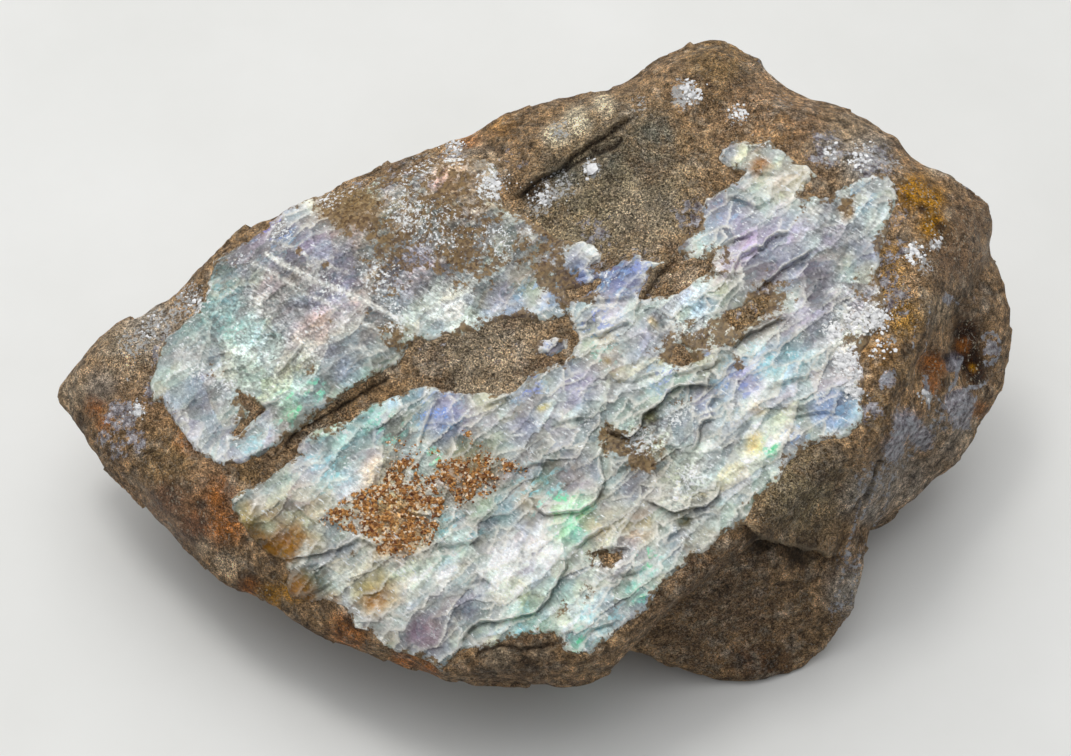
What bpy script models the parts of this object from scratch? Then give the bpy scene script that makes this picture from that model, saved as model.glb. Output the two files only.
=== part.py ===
"""Rough opal specimen: one hand-sized stone, a host of brown ironstone with a seam of opal across its upper face.

Metres, +Z up. The origin is the middle of the flat patch that the stone rests on. The stone's long
axis runs along X, and its opal face looks up and towards -Y. Every size below is in millimetres.
"""

import math

import bmesh
import bpy
import numpy as np
from mathutils import Vector, noise

MM = 0.001
STONE_NAME = "opal_stone"

# The broken stone is five overlapping convex lumps. Each list holds a lump's corners (x, y, z).
# The slab carries most of the opal face and is thin along its front rim.
SLAB_CORNERS = (
    (-49, 26, 36),  # back rim, from the nose up to the apex
    (-39, 31, 39),
    (-23, 39, 41),
    (-9, 43, 43),
    (4, 48, 44),
    (16, 52, 46),
    (26, 57, 47),
    (31, 60, 47),  # apex
    (38, 55, 48),  # right rim, from the apex down to the shoulder
    (43, 48, 48),
    (52, 42, 48),
    (60, 36, 48),
    (68, 31, 47),
    (75, 28, 43),
    (77, 24, 39),
    (-37, 23, 41),  # edge of the upper face, inside the rim
    (-22, 30, 43),
    (-9, 35, 46),
    (16, 43, 50),
    (30, 50, 52),
    (40, 39, 53),
    (56, 27, 53),
    (64, 19, 51),
    (62, 4, 49),  # edge of the upper face over the broken front corner
    (54, -15, 43),
    (33, -29, 36),
    (13, -46, 28),
    (10, -47, 26),  # front rim, upper edge
    (1, -48, 24),
    (-15, -48, 23),
    (-27, -42, 25),
    (-37, -35, 26),
    (-48, -21, 30),
    (-57, -21, 25),
    (10, -47, 17),  # front rim, lower edge
    (4, -47, 15),
    (-7, -49, 14),
    (-21, -44, 14),
    (-31, -38, 16),
    (-44, -35, 17),
    (-30, 26, 20),  # back, below the rim
    (6, 38, 22),
    (30, 46, 24),
    (56, 28, 24),
)
# The nose lobe stands a step higher than the slab's front, and runs out into the left end.
NOSE_CORNERS = (
    (-82, 4, 20),  # left end
    (-78, 4, 27),
    (-67, 12, 32),  # back rim
    (-49, 26, 37),
    (-39, 31, 39),
    (-72, 1, 29),  # edge of the upper face
    (-63, 7, 34),
    (-37, 23, 42),
    (-22, 3, 40.5),  # step down to the slab
    (-26, -3, 40),
    (-34, -9, 38.5),
    (-43, -15, 36),
    (-52, -18, 32),
    (-60, -20, 26),  # front rim, upper edge
    (-70, -8, 26),
    (-47, -33, 16),  # front rim, lower edge
    (-58, -23, 16),
    (-72, -8, 18),
    (-60, 8, 17),  # back, below the rim
    (-30, 24, 20),
    (-24, -6, 20),
)
# The keel is the thick middle under the slab. It runs on past the foot plane, where it is cut flat.
KEEL_CORNERS = (
    (-32, -14, -2),  # foot
    (-12, -30, -2),
    (14, -34, -2),
    (48, -18, -2),
    (52, 4, -2),
    (44, 22, -2),
    (18, 30, -2),
    (-14, 22, -2),
    (-34, 6, -2),
    (-60, -10, 19),  # where the keel meets the slab
    (-46, -26, 18),
    (-20, -38, 17),
    (8, -40, 19),
    (62, -8, 22),
    (68, 12, 26),
    (62, 28, 26),
    (34, 46, 28),
    (0, 38, 26),
    (-36, 24, 24),
    (-62, 6, 21),
)
FLANK_CORNERS = (
    (75, 28, 40),  # right flank, from the shoulder down to the foot
    (78, 18, 32),
    (80, 15, 28),
    (79, 11, 24),
    (79, 6, 20),
    (76, 1, 17),
    (72, -4, 13),
    (65, -10, 10),
    (59, -14, 8),
    (54, -16, 41),  # ridge between the flank and the front corner
    (49, -24, 20),
    (35, -28, 31),
    (60, 14, 4),
    (54, -6, -2),
    (40, -16, -2),
    (40, 20, 30),
)
TOE_CORNERS = (
    (33, -27, 31),  # broken front corner, running down to the toe
    (48, -25, 19),
    (55, -22, 16),
    (55, -27, 12),
    (52, -32, 8),
    (49, -35, 4),
    (44, -38, -1),
    (38, -40, -1),
    (31, -39, -1),
    (27, -38, 4),
    (13, -39, 12),
    (18, -20, 26),
    (14, -26, -2),
    (46, -4, -2),
    (50, -8, 22),
)

# Relief on the opal side is drawn square to the direction that this side faces: x runs along the
# stone and w runs up the face, towards the back rim.
SHOW_ELEVATION = math.radians(58)
SHOW_UP = np.array((0, math.sin(SHOW_ELEVATION), math.cos(SHOW_ELEVATION)))
SHOW_OUT = np.array((0, -math.cos(SHOW_ELEVATION), math.sin(SHOW_ELEVATION)))

# Ledges left where the opal broke in shallow shells. Each is the drop in millimetres and its line of
# points (x, w). Walking along the line, the low side is on the right.
LEDGES = (
    (1.0, ((29, 37.4), (33, 39.2), (36.6, 41))),
    (1.3, ((31.6, 32), (33, 36.2), (36.3, 37.9), (38.9, 39.8), (42, 39.6))),
    (1.6, ((34, 30), (37.4, 33.1), (41.8, 35.9), (46, 38))),
    (1.2, ((30, 20), (33.2, 23.7), (37.9, 26.2), (42, 27))),
    (1.4, ((16.4, 26.3), (17.2, 29.8), (19.4, 34), (23, 36.5))),
    (1.1, ((7.9, 23.4), (12.2, 25), (16.7, 26.4))),
    (2.0, ((10.8, 9.7), (13.3, 7.7), (16.5, 9.1), (18.4, 12.3), (22.8, 15.4), (29, 16.4))),
    (1.2, ((23.9, 4.1), (26, 7.6), (27.8, 10.9), (28.2, 15.9))),
    (1.0, ((-8.8, 11.1), (-5.7, 13), (-2.9, 15.4))),
    (1.6, ((-1, -3), (4.2, -4.2), (8.9, -2.9), (11.2, 1.3), (12.1, 7.2))),
    (1.6, ((16.3, -2.1), (21.8, -4.1), (26.6, -3), (29.5, 1.1))),
    (1.3, ((4.8, -10.6), (7.7, -8), (12.5, -6.6))),
    (1.2, ((7.6, -12.2), (11.6, -9.8), (16, -9.6))),
    (1.5, ((-12.5, -25.3), (-9.4, -21.9), (-3.2, -19.9), (1.5, -17.5), (4.3, -12.9), (4.9, -10))),
    (1.0, ((6.5, -24), (10.5, -21.3), (14, -20.2))),
    (1.0, ((-39, -11.4), (-30, -9.4), (-25, -10.2))),
    (0.9, ((-18.4, 4.6), (-18, 7.8), (-14.5, 13.6))),
    (0.9, ((-48.5, 7.6), (-45.4, 11.1), (-39, 14))),
    (1.0, ((-42.4, 16.7), (-38.6, 21.2), (-36, 24))),
    (1.6, ((-5, 46.1), (0.7, 49.5), (8.1, 54.5), (17.3, 61))),
    (3.6, ((31, -5.4), (36, -8), (42.3, -9.9), (49.5, -11.5))),
)
LEDGE_EDGE = 0.5  # half the width of the drop itself
LEDGE_RUN = 5.0  # how far the lift and the fall beside it fade out
LEDGE_TAPER = 3.0  # how far each end runs out

# Hollows and swells anywhere on the stone: centre (x, y, z), radius and depth. A swell is negative.
HOLLOWS = (
    ((11, 46, 47), 16, 1.6),  # back rim
    ((-62, 14, 33), 14, 0.8),
    ((44, 49, 49), 13, 2.2),  # right rim
    ((64, 34, 47), 9, 1.0),
    ((71, 4, 32), 9, 3.4),  # pocket in the right flank
    ((77, 9, 26), 6, -0.8),
    ((62, -12, 26), 10, 1.2),
    ((44, -10, 41), 9, 0.8),
    ((-42, 4, 37), 17, 1.3),  # left opal field
    ((-4, 20, 44), 15, 0.9),
    ((10, 36, 49), 14, -0.9),  # sandstone knoll by the back rim
    ((22, 7, 45), 7, -0.9),  # opal lens
    ((-6, -14, 36), 10, -0.8),
    ((-38, -33, 22), 8, 1.0),  # front rim
    ((-8, -49, 17), 9, 1.0),
    ((40, -34, 12), 15, 1.0),  # broken front corner
    ((-50, 14, 20), 18, 1.8),  # back and underside, hidden from the front
    ((-14, 36, 26), 16, 2.0),
    ((22, 42, 22), 18, 2.2),
    ((54, 34, 28), 14, 1.6),
    ((64, 18, 12), 14, 1.8),
    ((-44, -6, 8), 14, 1.4),
    ((-22, -34, 6), 12, 1.4),
)

# Weathered unevenness: grain size and height of each layer of lumps.
LUMPS = ((17.0, 1.1), (6.5, 0.45), (3.2, 0.18))

VOXEL = 1.2
WEATHERING_PASSES = 4
SURFACE_TRIANGLES = 10300
FLOOR_SIZE = 300
FLOOR_DEPTH = 20

HOST_COLOUR = (0.133, 0.078, 0.042, 1)
HOST_ROUGHNESS = 0.8


def hull(name, corners):
    """A convex lump through the given corners."""
    mesh = bpy.data.meshes.new(name)
    lump = bmesh.new()
    for corner in corners:
        lump.verts.new(Vector(corner) * MM)
    made = bmesh.ops.convex_hull(lump, input=lump.verts)
    inside = [item for item in made["geom_interior"] if isinstance(item, bmesh.types.BMVert)]
    bmesh.ops.delete(lump, geom=inside, context="VERTS")
    bmesh.ops.recalc_face_normals(lump, faces=lump.faces)
    lump.to_mesh(mesh)
    lump.free()
    return bpy.data.objects.new(name, mesh)


def add_boolean(body, tool, operation):
    """Join or cut the body with a tool, which isn't shown itself."""
    tool.hide_render = True
    tool.display_type = "WIRE"
    step = body.modifiers.new(tool.name, "BOOLEAN")
    step.operation = operation
    step.object = tool


def bake_modifiers(body):
    """Replace the body's mesh with the shape that its modifiers give."""
    evaluated = body.evaluated_get(bpy.context.evaluated_depsgraph_get())
    body.data = bpy.data.meshes.new_from_object(evaluated)
    body.modifiers.clear()


def smoothstep(low, high, value):
    """Rise from 0 to 1 between low and high, with level ends."""
    share = np.clip((value - low) / (high - low), 0, 1)
    return share * share * (3 - 2 * share)


def line_distance(flat, line):
    """Signed distance from flat points (x, w) to a line, right side positive, and the way along it."""
    nearest = np.full(len(flat), np.inf)
    signed = np.zeros(len(flat))
    along = np.zeros(len(flat))
    walked = 0.0
    for start, end in zip(line[:-1], line[1:]):
        start = np.array(start, float)
        run = np.array(end, float) - start
        length = np.linalg.norm(run)
        run /= length
        offset = flat - start
        ahead = np.clip(offset @ run, 0, length)
        gap = np.linalg.norm(offset - ahead[:, None] * run, axis=1)
        side = np.sign(run[1] * offset[:, 0] - run[0] * offset[:, 1])
        closer = gap < nearest
        nearest[closer] = gap[closer]
        signed[closer] = (side * gap)[closer]
        along[closer] = walked + ahead[closer]
        walked += length
    return signed, along, walked


def ledge_lift(flat, drop, line):
    """Lift on the high side of a ledge and fall on its low side, fading away from it and at its ends."""
    signed, along, length = line_distance(flat, line)
    ends = smoothstep(0, LEDGE_TAPER, along) * smoothstep(0, LEDGE_TAPER, length - along)
    step = 0.5 - smoothstep(-LEDGE_EDGE, LEDGE_EDGE, signed)
    return drop * step * np.exp(-np.abs(signed) / LEDGE_RUN) * ends


def hollow_lift(points, centre, radius, depth):
    """A round dish, or a swell where the depth is negative."""
    away = np.linalg.norm(points - np.array(centre, float), axis=1)
    return -depth * (1 - smoothstep(0, radius, away))


def lump_lift(points, grain, height):
    """Soft, uneven lumps of about one grain size."""
    return height * np.array([noise.noise(Vector(point) / grain) for point in points])


def carve_relief(body):
    """Move each point of the surface along its normal by the ledges, hollows and weathered lumps."""
    mesh = body.data
    points = np.empty(len(mesh.vertices) * 3)
    mesh.vertices.foreach_get("co", points)
    points = points.reshape(-1, 3) / MM
    normals = np.empty(len(mesh.vertices) * 3)
    mesh.vertex_normals.foreach_get("vector", normals)
    normals = normals.reshape(-1, 3)
    flat = np.column_stack((points[:, 0], points @ SHOW_UP))
    facing = smoothstep(0.15, 0.45, normals @ SHOW_OUT)
    lift = np.zeros(len(points))
    for drop, line in LEDGES:
        lift += facing * ledge_lift(flat, drop, line)
    for centre, radius, depth in HOLLOWS:
        lift += hollow_lift(points, centre, radius, depth)
    for grain, height in LUMPS:
        lift += lump_lift(points, grain, height)
    points += normals * lift[:, None]
    mesh.vertices.foreach_set("co", (points * MM).ravel())
    mesh.update()


def host_material():
    """Brown ironstone."""
    material = bpy.data.materials.new("brown_ironstone")
    material.use_nodes = True
    shader = material.node_tree.nodes["Principled BSDF"]
    shader.inputs["Base Color"].default_value = HOST_COLOUR
    shader.inputs["Roughness"].default_value = HOST_ROUGHNESS
    shader.inputs["Metallic"].default_value = 0
    return material


def floor_tool():
    """A block that fills the space below the foot plane."""
    mesh = bpy.data.meshes.new("floor")
    block = bmesh.new()
    bmesh.ops.create_cube(block, size=1)
    bmesh.ops.scale(block, vec=Vector((FLOOR_SIZE, FLOOR_SIZE, FLOOR_DEPTH)) * MM, verts=block.verts)
    bmesh.ops.translate(block, vec=Vector((0, 0, -FLOOR_DEPTH / 2)) * MM, verts=block.verts)
    block.to_mesh(mesh)
    block.free()
    return bpy.data.objects.new("floor", mesh)


def main():
    for old in list(bpy.data.objects):
        bpy.data.objects.remove(old)
    specimen = bpy.data.collections.new("rough_opal_specimen")
    tools = bpy.data.collections.new("lumps")
    bpy.context.scene.collection.children.link(specimen)
    bpy.context.scene.collection.children.link(tools)

    stone = hull(STONE_NAME, SLAB_CORNERS)
    specimen.objects.link(stone)
    lumps = (("nose", NOSE_CORNERS), ("keel", KEEL_CORNERS), ("flank", FLANK_CORNERS), ("toe", TOE_CORNERS))
    for name, corners in lumps:
        lump = hull(name, corners)
        tools.objects.link(lump)
        add_boolean(stone, lump, "UNION")
    fuse = stone.modifiers.new("fuse", "REMESH")
    fuse.mode = "VOXEL"
    fuse.voxel_size = VOXEL * MM
    weather = stone.modifiers.new("weather", "SMOOTH")
    weather.factor = 0.5
    weather.iterations = WEATHERING_PASSES
    bake_modifiers(stone)

    carve_relief(stone)
    thin = stone.modifiers.new("thin", "DECIMATE")
    triangles = sum(len(face.vertices) - 2 for face in stone.data.polygons)
    thin.ratio = SURFACE_TRIANGLES / triangles
    floor = floor_tool()
    tools.objects.link(floor)
    add_boolean(stone, floor, "DIFFERENCE")
    stone.data.materials.clear()
    stone.data.materials.append(host_material())


main()
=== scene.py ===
"""Rough opal specimen: the looks of one broken stone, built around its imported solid.

The ironstone host, its seam of opal, the rust-coloured grains and the white crust are each made as a
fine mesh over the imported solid's own surface. Lengths are millimetres unless a name says otherwise,
and they are turned to metres where a mesh is written.
"""

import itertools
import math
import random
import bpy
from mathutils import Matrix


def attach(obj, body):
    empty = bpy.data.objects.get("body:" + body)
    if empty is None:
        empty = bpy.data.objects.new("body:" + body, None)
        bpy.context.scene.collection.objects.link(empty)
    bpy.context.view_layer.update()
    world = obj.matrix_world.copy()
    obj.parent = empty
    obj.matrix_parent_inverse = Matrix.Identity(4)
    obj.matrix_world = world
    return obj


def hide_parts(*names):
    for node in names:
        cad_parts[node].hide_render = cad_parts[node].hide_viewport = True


bl_info = {
    "name": "Rough Opal Specimen",
    "version": (1, 0, 0),
    "blender": (4, 5, 0),
    "location": "View3D > Sidebar > Opal",
    "description": "Builds a rough opal specimen: ironstone host, opal seam, grains and crust",
    "category": "Add Mesh",
}

import bmesh
import bpy
import numpy as np
from bpy.props import FloatProperty, FloatVectorProperty, IntProperty, PointerProperty
from mathutils import Matrix, Vector
from mathutils.bvhtree import BVHTree

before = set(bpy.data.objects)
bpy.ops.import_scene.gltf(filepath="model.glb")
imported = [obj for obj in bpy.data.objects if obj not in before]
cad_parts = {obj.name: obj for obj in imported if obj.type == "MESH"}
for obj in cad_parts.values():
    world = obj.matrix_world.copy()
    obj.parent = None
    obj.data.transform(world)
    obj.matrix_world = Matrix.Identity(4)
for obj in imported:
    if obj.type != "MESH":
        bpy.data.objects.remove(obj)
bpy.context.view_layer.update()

MM = 0.001
SAME_PLACE = 0.00001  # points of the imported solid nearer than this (m) are one point
UNDER_OPAL = 1.6  # rock further (mm) inside the opal's border than this is hidden and stays coarse
FOOT = 0.3  # and so does rock lower (mm) than this
FOOT_RISE = 2  # height (mm) over which the relief grows from nothing at the floor
SHARP_ANGLE = math.radians(38)  # edges sharper than this stay crisp
NODE = "opal_stone"

# The camera looks down on the opal face. Zones below are drawn in this camera's picture, in pixels.
PICTURE_WIDTH = 1071
PICTURE_HEIGHT = 756
CAMERA_ELEVATION = math.radians(58)
CAMERA_TARGET = np.array((0, -3.7, 38))
LENS = 85
SENSOR = 36
PIXEL = 0.16  # width of one pixel at the target
FOCAL_PIXELS = LENS / SENSOR * PICTURE_WIDTH
CAMERA_DISTANCE = PIXEL * FOCAL_PIXELS
LOOK = np.array((0, math.cos(CAMERA_ELEVATION), -math.sin(CAMERA_ELEVATION)))
PICTURE_UP = np.array((0, math.sin(CAMERA_ELEVATION), math.cos(CAMERA_ELEVATION)))
CAMERA_PLACE = CAMERA_TARGET - LOOK * CAMERA_DISTANCE

# Where the opal shows: the left field and the wide front and right field, then its smaller patches.
OPAL_ZONES = (
    (
        (214, 262), (236, 248), (262, 230), (285, 216), (300, 207), (318, 222), (330, 243), (350, 268),
        (372, 290), (395, 305), (415, 320), (408, 340), (404, 350), (397, 364), (372, 377), (346, 390),
        (318, 413), (298, 431), (275, 448), (249, 461), (224, 466), (196, 450), (183, 435), (168, 408),
        (153, 400), (150, 380), (158, 352), (170, 334), (188, 322), (203, 300),
    ),
    (
        (232, 500), (240, 492), (262, 482), (285, 466), (298, 455), (300, 440), (318, 432), (338, 424),
        (352, 420), (360, 410), (385, 400), (410, 390), (425, 385), (440, 388), (470, 392), (500, 395),
        (514, 390), (525, 382), (540, 369), (560, 364), (572, 354), (577, 338), (568, 325), (562, 310),
        (560, 300), (566, 282), (580, 268), (600, 268), (620, 262), (640, 257), (655, 262), (684, 262),
        (680, 250), (684, 240), (692, 232), (700, 222), (702, 208), (706, 198), (722, 190), (738, 180),
        (742, 174), (733, 165), (722, 160), (720, 150), (735, 142), (752, 143), (770, 140), (782, 152),
        (792, 160), (808, 165), (816, 175), (806, 183), (803, 196), (820, 200), (832, 198), (845, 185),
        (862, 176), (885, 174), (893, 185), (897, 200), (890, 220), (884, 240), (880, 262), (880, 290),
        (886, 312), (870, 335), (862, 352), (866, 380), (862, 400), (864, 420), (855, 431), (840, 438),
        (820, 440), (805, 449), (792, 457), (784, 470), (778, 480), (760, 495), (750, 508), (743, 522),
        (735, 530), (718, 541), (705, 553), (690, 558), (668, 580), (655, 597), (645, 608), (628, 620),
        (612, 637), (598, 648), (590, 656), (575, 654), (562, 645), (552, 633), (520, 637), (500, 642),
        (480, 648), (462, 653), (450, 661), (441, 671), (430, 661), (412, 655), (395, 652), (383, 643),
        (372, 631), (357, 625), (350, 615), (340, 606), (322, 599), (305, 603), (290, 598), (285, 585),
        (288, 572), (284, 560), (268, 553), (250, 537), (243, 522), (236, 510),
    ),
    (
        (262, 230), (285, 212), (310, 200), (335, 192), (365, 186), (385, 176), (410, 168), (435, 158),
        (460, 156), (485, 160), (498, 172), (500, 195), (512, 212), (535, 226), (560, 236), (590, 244),
        (604, 252), (600, 264), (575, 272), (562, 290), (566, 305), (572, 318), (545, 322), (520, 318),
        (500, 322), (470, 332), (440, 338), (415, 342), (400, 352), (380, 360), (340, 330), (300, 270),
    ),
    ((538, 340), (555, 336), (570, 338), (568, 348), (550, 354), (536, 352)),
)
# Waves in the opal's border: height (mm), length (mm) and a seed.
BORDER_WAVES = ((0.4, 3.4, 11), (0.3, 1.1, 13))
DEEPEST = 6  # the furthest (mm) inside or outside the border that anything needs to know
LEAST_FACING = 0.02  # the opal ends where the surface turns away from the camera this far
# Islands of sandy matrix that show through inside the opal.
MATRIX_ISLANDS = (
    ((642, 300), (645, 288), (650, 278), (655, 268), (668, 262), (690, 260), (712, 260), (712, 270),
     (698, 278), (690, 285), (680, 294), (665, 297)),
    ((728, 318), (740, 308), (756, 300), (770, 296), (764, 312), (750, 322), (736, 330)),
    ((672, 350), (680, 343), (690, 348), (695, 358), (690, 365), (678, 367), (670, 362)),
    ((566, 291), (575, 286), (590, 282), (600, 280), (592, 292), (578, 298), (568, 300)),
    ((604, 424), (612, 431), (624, 436), (618, 441), (608, 437)),
    ((588, 555), (600, 551), (618, 553), (620, 558), (610, 564), (598, 560)),
    ((233, 437), (240, 425), (253, 413), (243, 404), (239, 392), (250, 400), (262, 409), (250, 424)),
)

# Ledges where the opal broke in shallow shells, in pixels, and their drop. Walking along a line, the
# low side is on the right in the picture. These are the solid's own ledges, drawn again to sharpen.
SOLID_LEDGES = (
    (1.0, ((716, 251), (740, 240), (757, 230), (763, 229))),
    (1.3, ((733, 284), (737, 268), (742, 258), (752, 250), (762, 248), (770, 240), (778, 236), (796, 238))),
    (1.6, ((750, 295), (762, 283), (770, 277), (780, 268), (790, 262), (797, 260), (820, 248))),
    (1.2, ((724, 358), (736, 345), (745, 336), (754, 330), (764, 325), (796, 318))),
    (1.4, ((638, 320), (638, 310), (643, 298), (650, 286), (656, 272), (678, 258))),
    (1.1, ((585, 338), (600, 336), (612, 328), (620, 323), (640, 319))),
    (2.0, ((604, 424), (608, 432), (620, 437), (632, 436), (640, 428), (643, 415), (652, 408), (660, 402),
           (668, 393), (680, 388), (700, 384), (716, 382))),
    (1.2, ((688, 460), (697, 450), (701, 438), (700, 430), (703, 421), (712, 417), (708, 405), (714, 385))),
    (1.0, ((480, 415), (490, 405), (500, 403), (507, 398), (517, 388))),
    (1.6, ((530, 505), (545, 515), (562, 512), (580, 512), (592, 505), (600, 493), (607, 478), (602, 458),
           (603, 447), (612, 440))),
    (1.6, ((640, 500), (655, 500), (665, 505), (675, 513), (690, 509), (706, 506), (716, 497), (722, 480))),
    (1.3, ((566, 555), (575, 545), (585, 538), (600, 532), (616, 528))),
    (1.2, ((585, 565), (597, 553), (610, 550), (625, 548), (638, 549))),
    (1.5, ((455, 650), (462, 638), (475, 628), (492, 620), (515, 615), (532, 611), (545, 600), (556, 585),
           (563, 570), (567, 551))),
    (1.0, ((577, 643), (590, 630), (603, 625), (622, 618))),
    (1.0, ((288, 558), (320, 553), (345, 545), (355, 540), (368, 543), (380, 553))),
    (0.9, ((424, 456), (420, 445), (425, 430), (431, 418), (438, 405), (446, 399))),
    (0.9, ((232, 437), (243, 425), (252, 415), (262, 408), (278, 402), (292, 397))),
    (1.0, ((272, 380), (285, 368), (296, 352), (312, 336))),
    (1.6, ((505, 200), (520, 195), (540, 180), (560, 165), (585, 150), (610, 130), (640, 112))),
    (3.6, ((740, 522), (760, 534), (780, 542), (800, 546), (820, 550), (842, 555))),
)
LEDGE_WIDTH = 0.3  # half the width (mm) over which a sharpened ledge falls
SOLID_LEDGE_WIDTH = 2.4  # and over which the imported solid's own ledges fall
LEDGE_TAPER = 3  # length (mm) over which a ledge's ends die out
LEDGE_FADE = 5  # distance (mm) over which its lift dies away
# Finer ledges that only the fine mesh holds.
FINE_LEDGES = (
    (0.6, ((661, 556), (664, 545), (669, 536), (682, 532), (692, 536))),
    (0.6, ((250, 345), (262, 338), (280, 333), (296, 322))),
    (0.7, ((430, 555), (440, 548), (455, 548), (470, 542), (485, 535))),
    (0.6, ((440, 538), (448, 525), (458, 518), (470, 512))),
    (0.5, ((460, 600), (470, 585), (482, 580), (500, 592))),
    (0.6, ((540, 345), (560, 336), (580, 326), (600, 322))),
    (0.6, ((575, 300), (600, 301), (620, 299), (640, 297))),
    (0.5, ((566, 290), (575, 280), (590, 276), (602, 274))),
    (0.6, ((500, 495), (515, 483), (522, 470), (535, 462), (560, 465))),
    (0.6, ((545, 432), (560, 425), (580, 420), (600, 420))), (0.6, ((620, 400), (636, 410), (650, 405))),
    (0.7, ((660, 380), (672, 378), (690, 372), (712, 366), (724, 360))),
    (0.6, ((600, 375), (615, 380), (632, 380), (650, 376), (668, 372))),
    (0.5, ((700, 400), (712, 396), (730, 396))), (0.6, ((765, 392), (785, 388), (800, 382), (822, 372))),
    (0.6, ((770, 405), (785, 410), (800, 412), (812, 410))),
    (0.6, ((780, 420), (800, 418), (822, 414), (842, 412))),
    (0.7, ((700, 268), (715, 272), (730, 276), (740, 283))),
    (0.8, ((715, 205), (735, 200), (760, 205), (778, 200))),
    (0.7, ((722, 158), (735, 165), (745, 178), (757, 173), (775, 175), (782, 168))),
    (0.5, ((640, 480), (655, 470), (668, 462))), (0.6, ((610, 478), (620, 470), (636, 466), (642, 455))),
    (0.6, ((675, 520), (690, 520), (705, 515), (722, 514))),
    (0.6, ((600, 580), (620, 575), (640, 572), (655, 565))), (0.5, ((560, 600), (575, 595), (590, 592))),
    (0.5, ((480, 655), (500, 658), (530, 661), (560, 660))),
    (0.6, ((545, 140), (565, 125), (590, 112), (615, 105))),
    (0.8, ((395, 655), (385, 640), (365, 626), (352, 612))),
    (0.7, ((300, 600), (318, 590), (330, 585), (336, 572))),
)


def srgb(code):
    """An sRGB hex colour as linear red, green, blue and a full alpha."""
    parts = [int(code[place:place + 2], 16) / 255 for place in (1, 3, 5)]
    return tuple(c / 12.92 if c <= 0.04045 else ((c + 0.055) / 1.055) ** 2.4 for c in parts) + (1.0,)


def rgb(code):
    """An sRGB hex colour as a linear array of red, green and blue."""
    return np.array(srgb(code)[:3])


OPAL_TINTS = {
    "milk": "#B5B8AF",
    "white": "#C6C6B9",
    "cream": "#C2B89C",
    "grey": "#93969A",
    "smoke": "#726D66",
    "cyan": "#A5C6C8",
    "teal": "#93BAB3",
    "green": "#A4DCC0",
    "lilac": "#928A9E",
    "violet": "#8A88B4",
    "indigo": "#646F92",
    "blue": "#8499C0",
    "sky": "#A9BAC4",
    "straw": "#C2AC74",
    "amber": "#956217",
    "rust": "#A88250",
    "plum": "#7A6A70",
    "olive": "#625D3F",
}
STREAK_TINT = "#E4E2DA"
TINT_LEVEL = 0.92  # the opal's shine adds light, so its painted tints are set a little darker
BRIGHTEST = 0.95
DAB_CORE, DAB_RIM = 0.3, 1.25  # a dab is whole within this share of its radius, and gone past this
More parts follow.
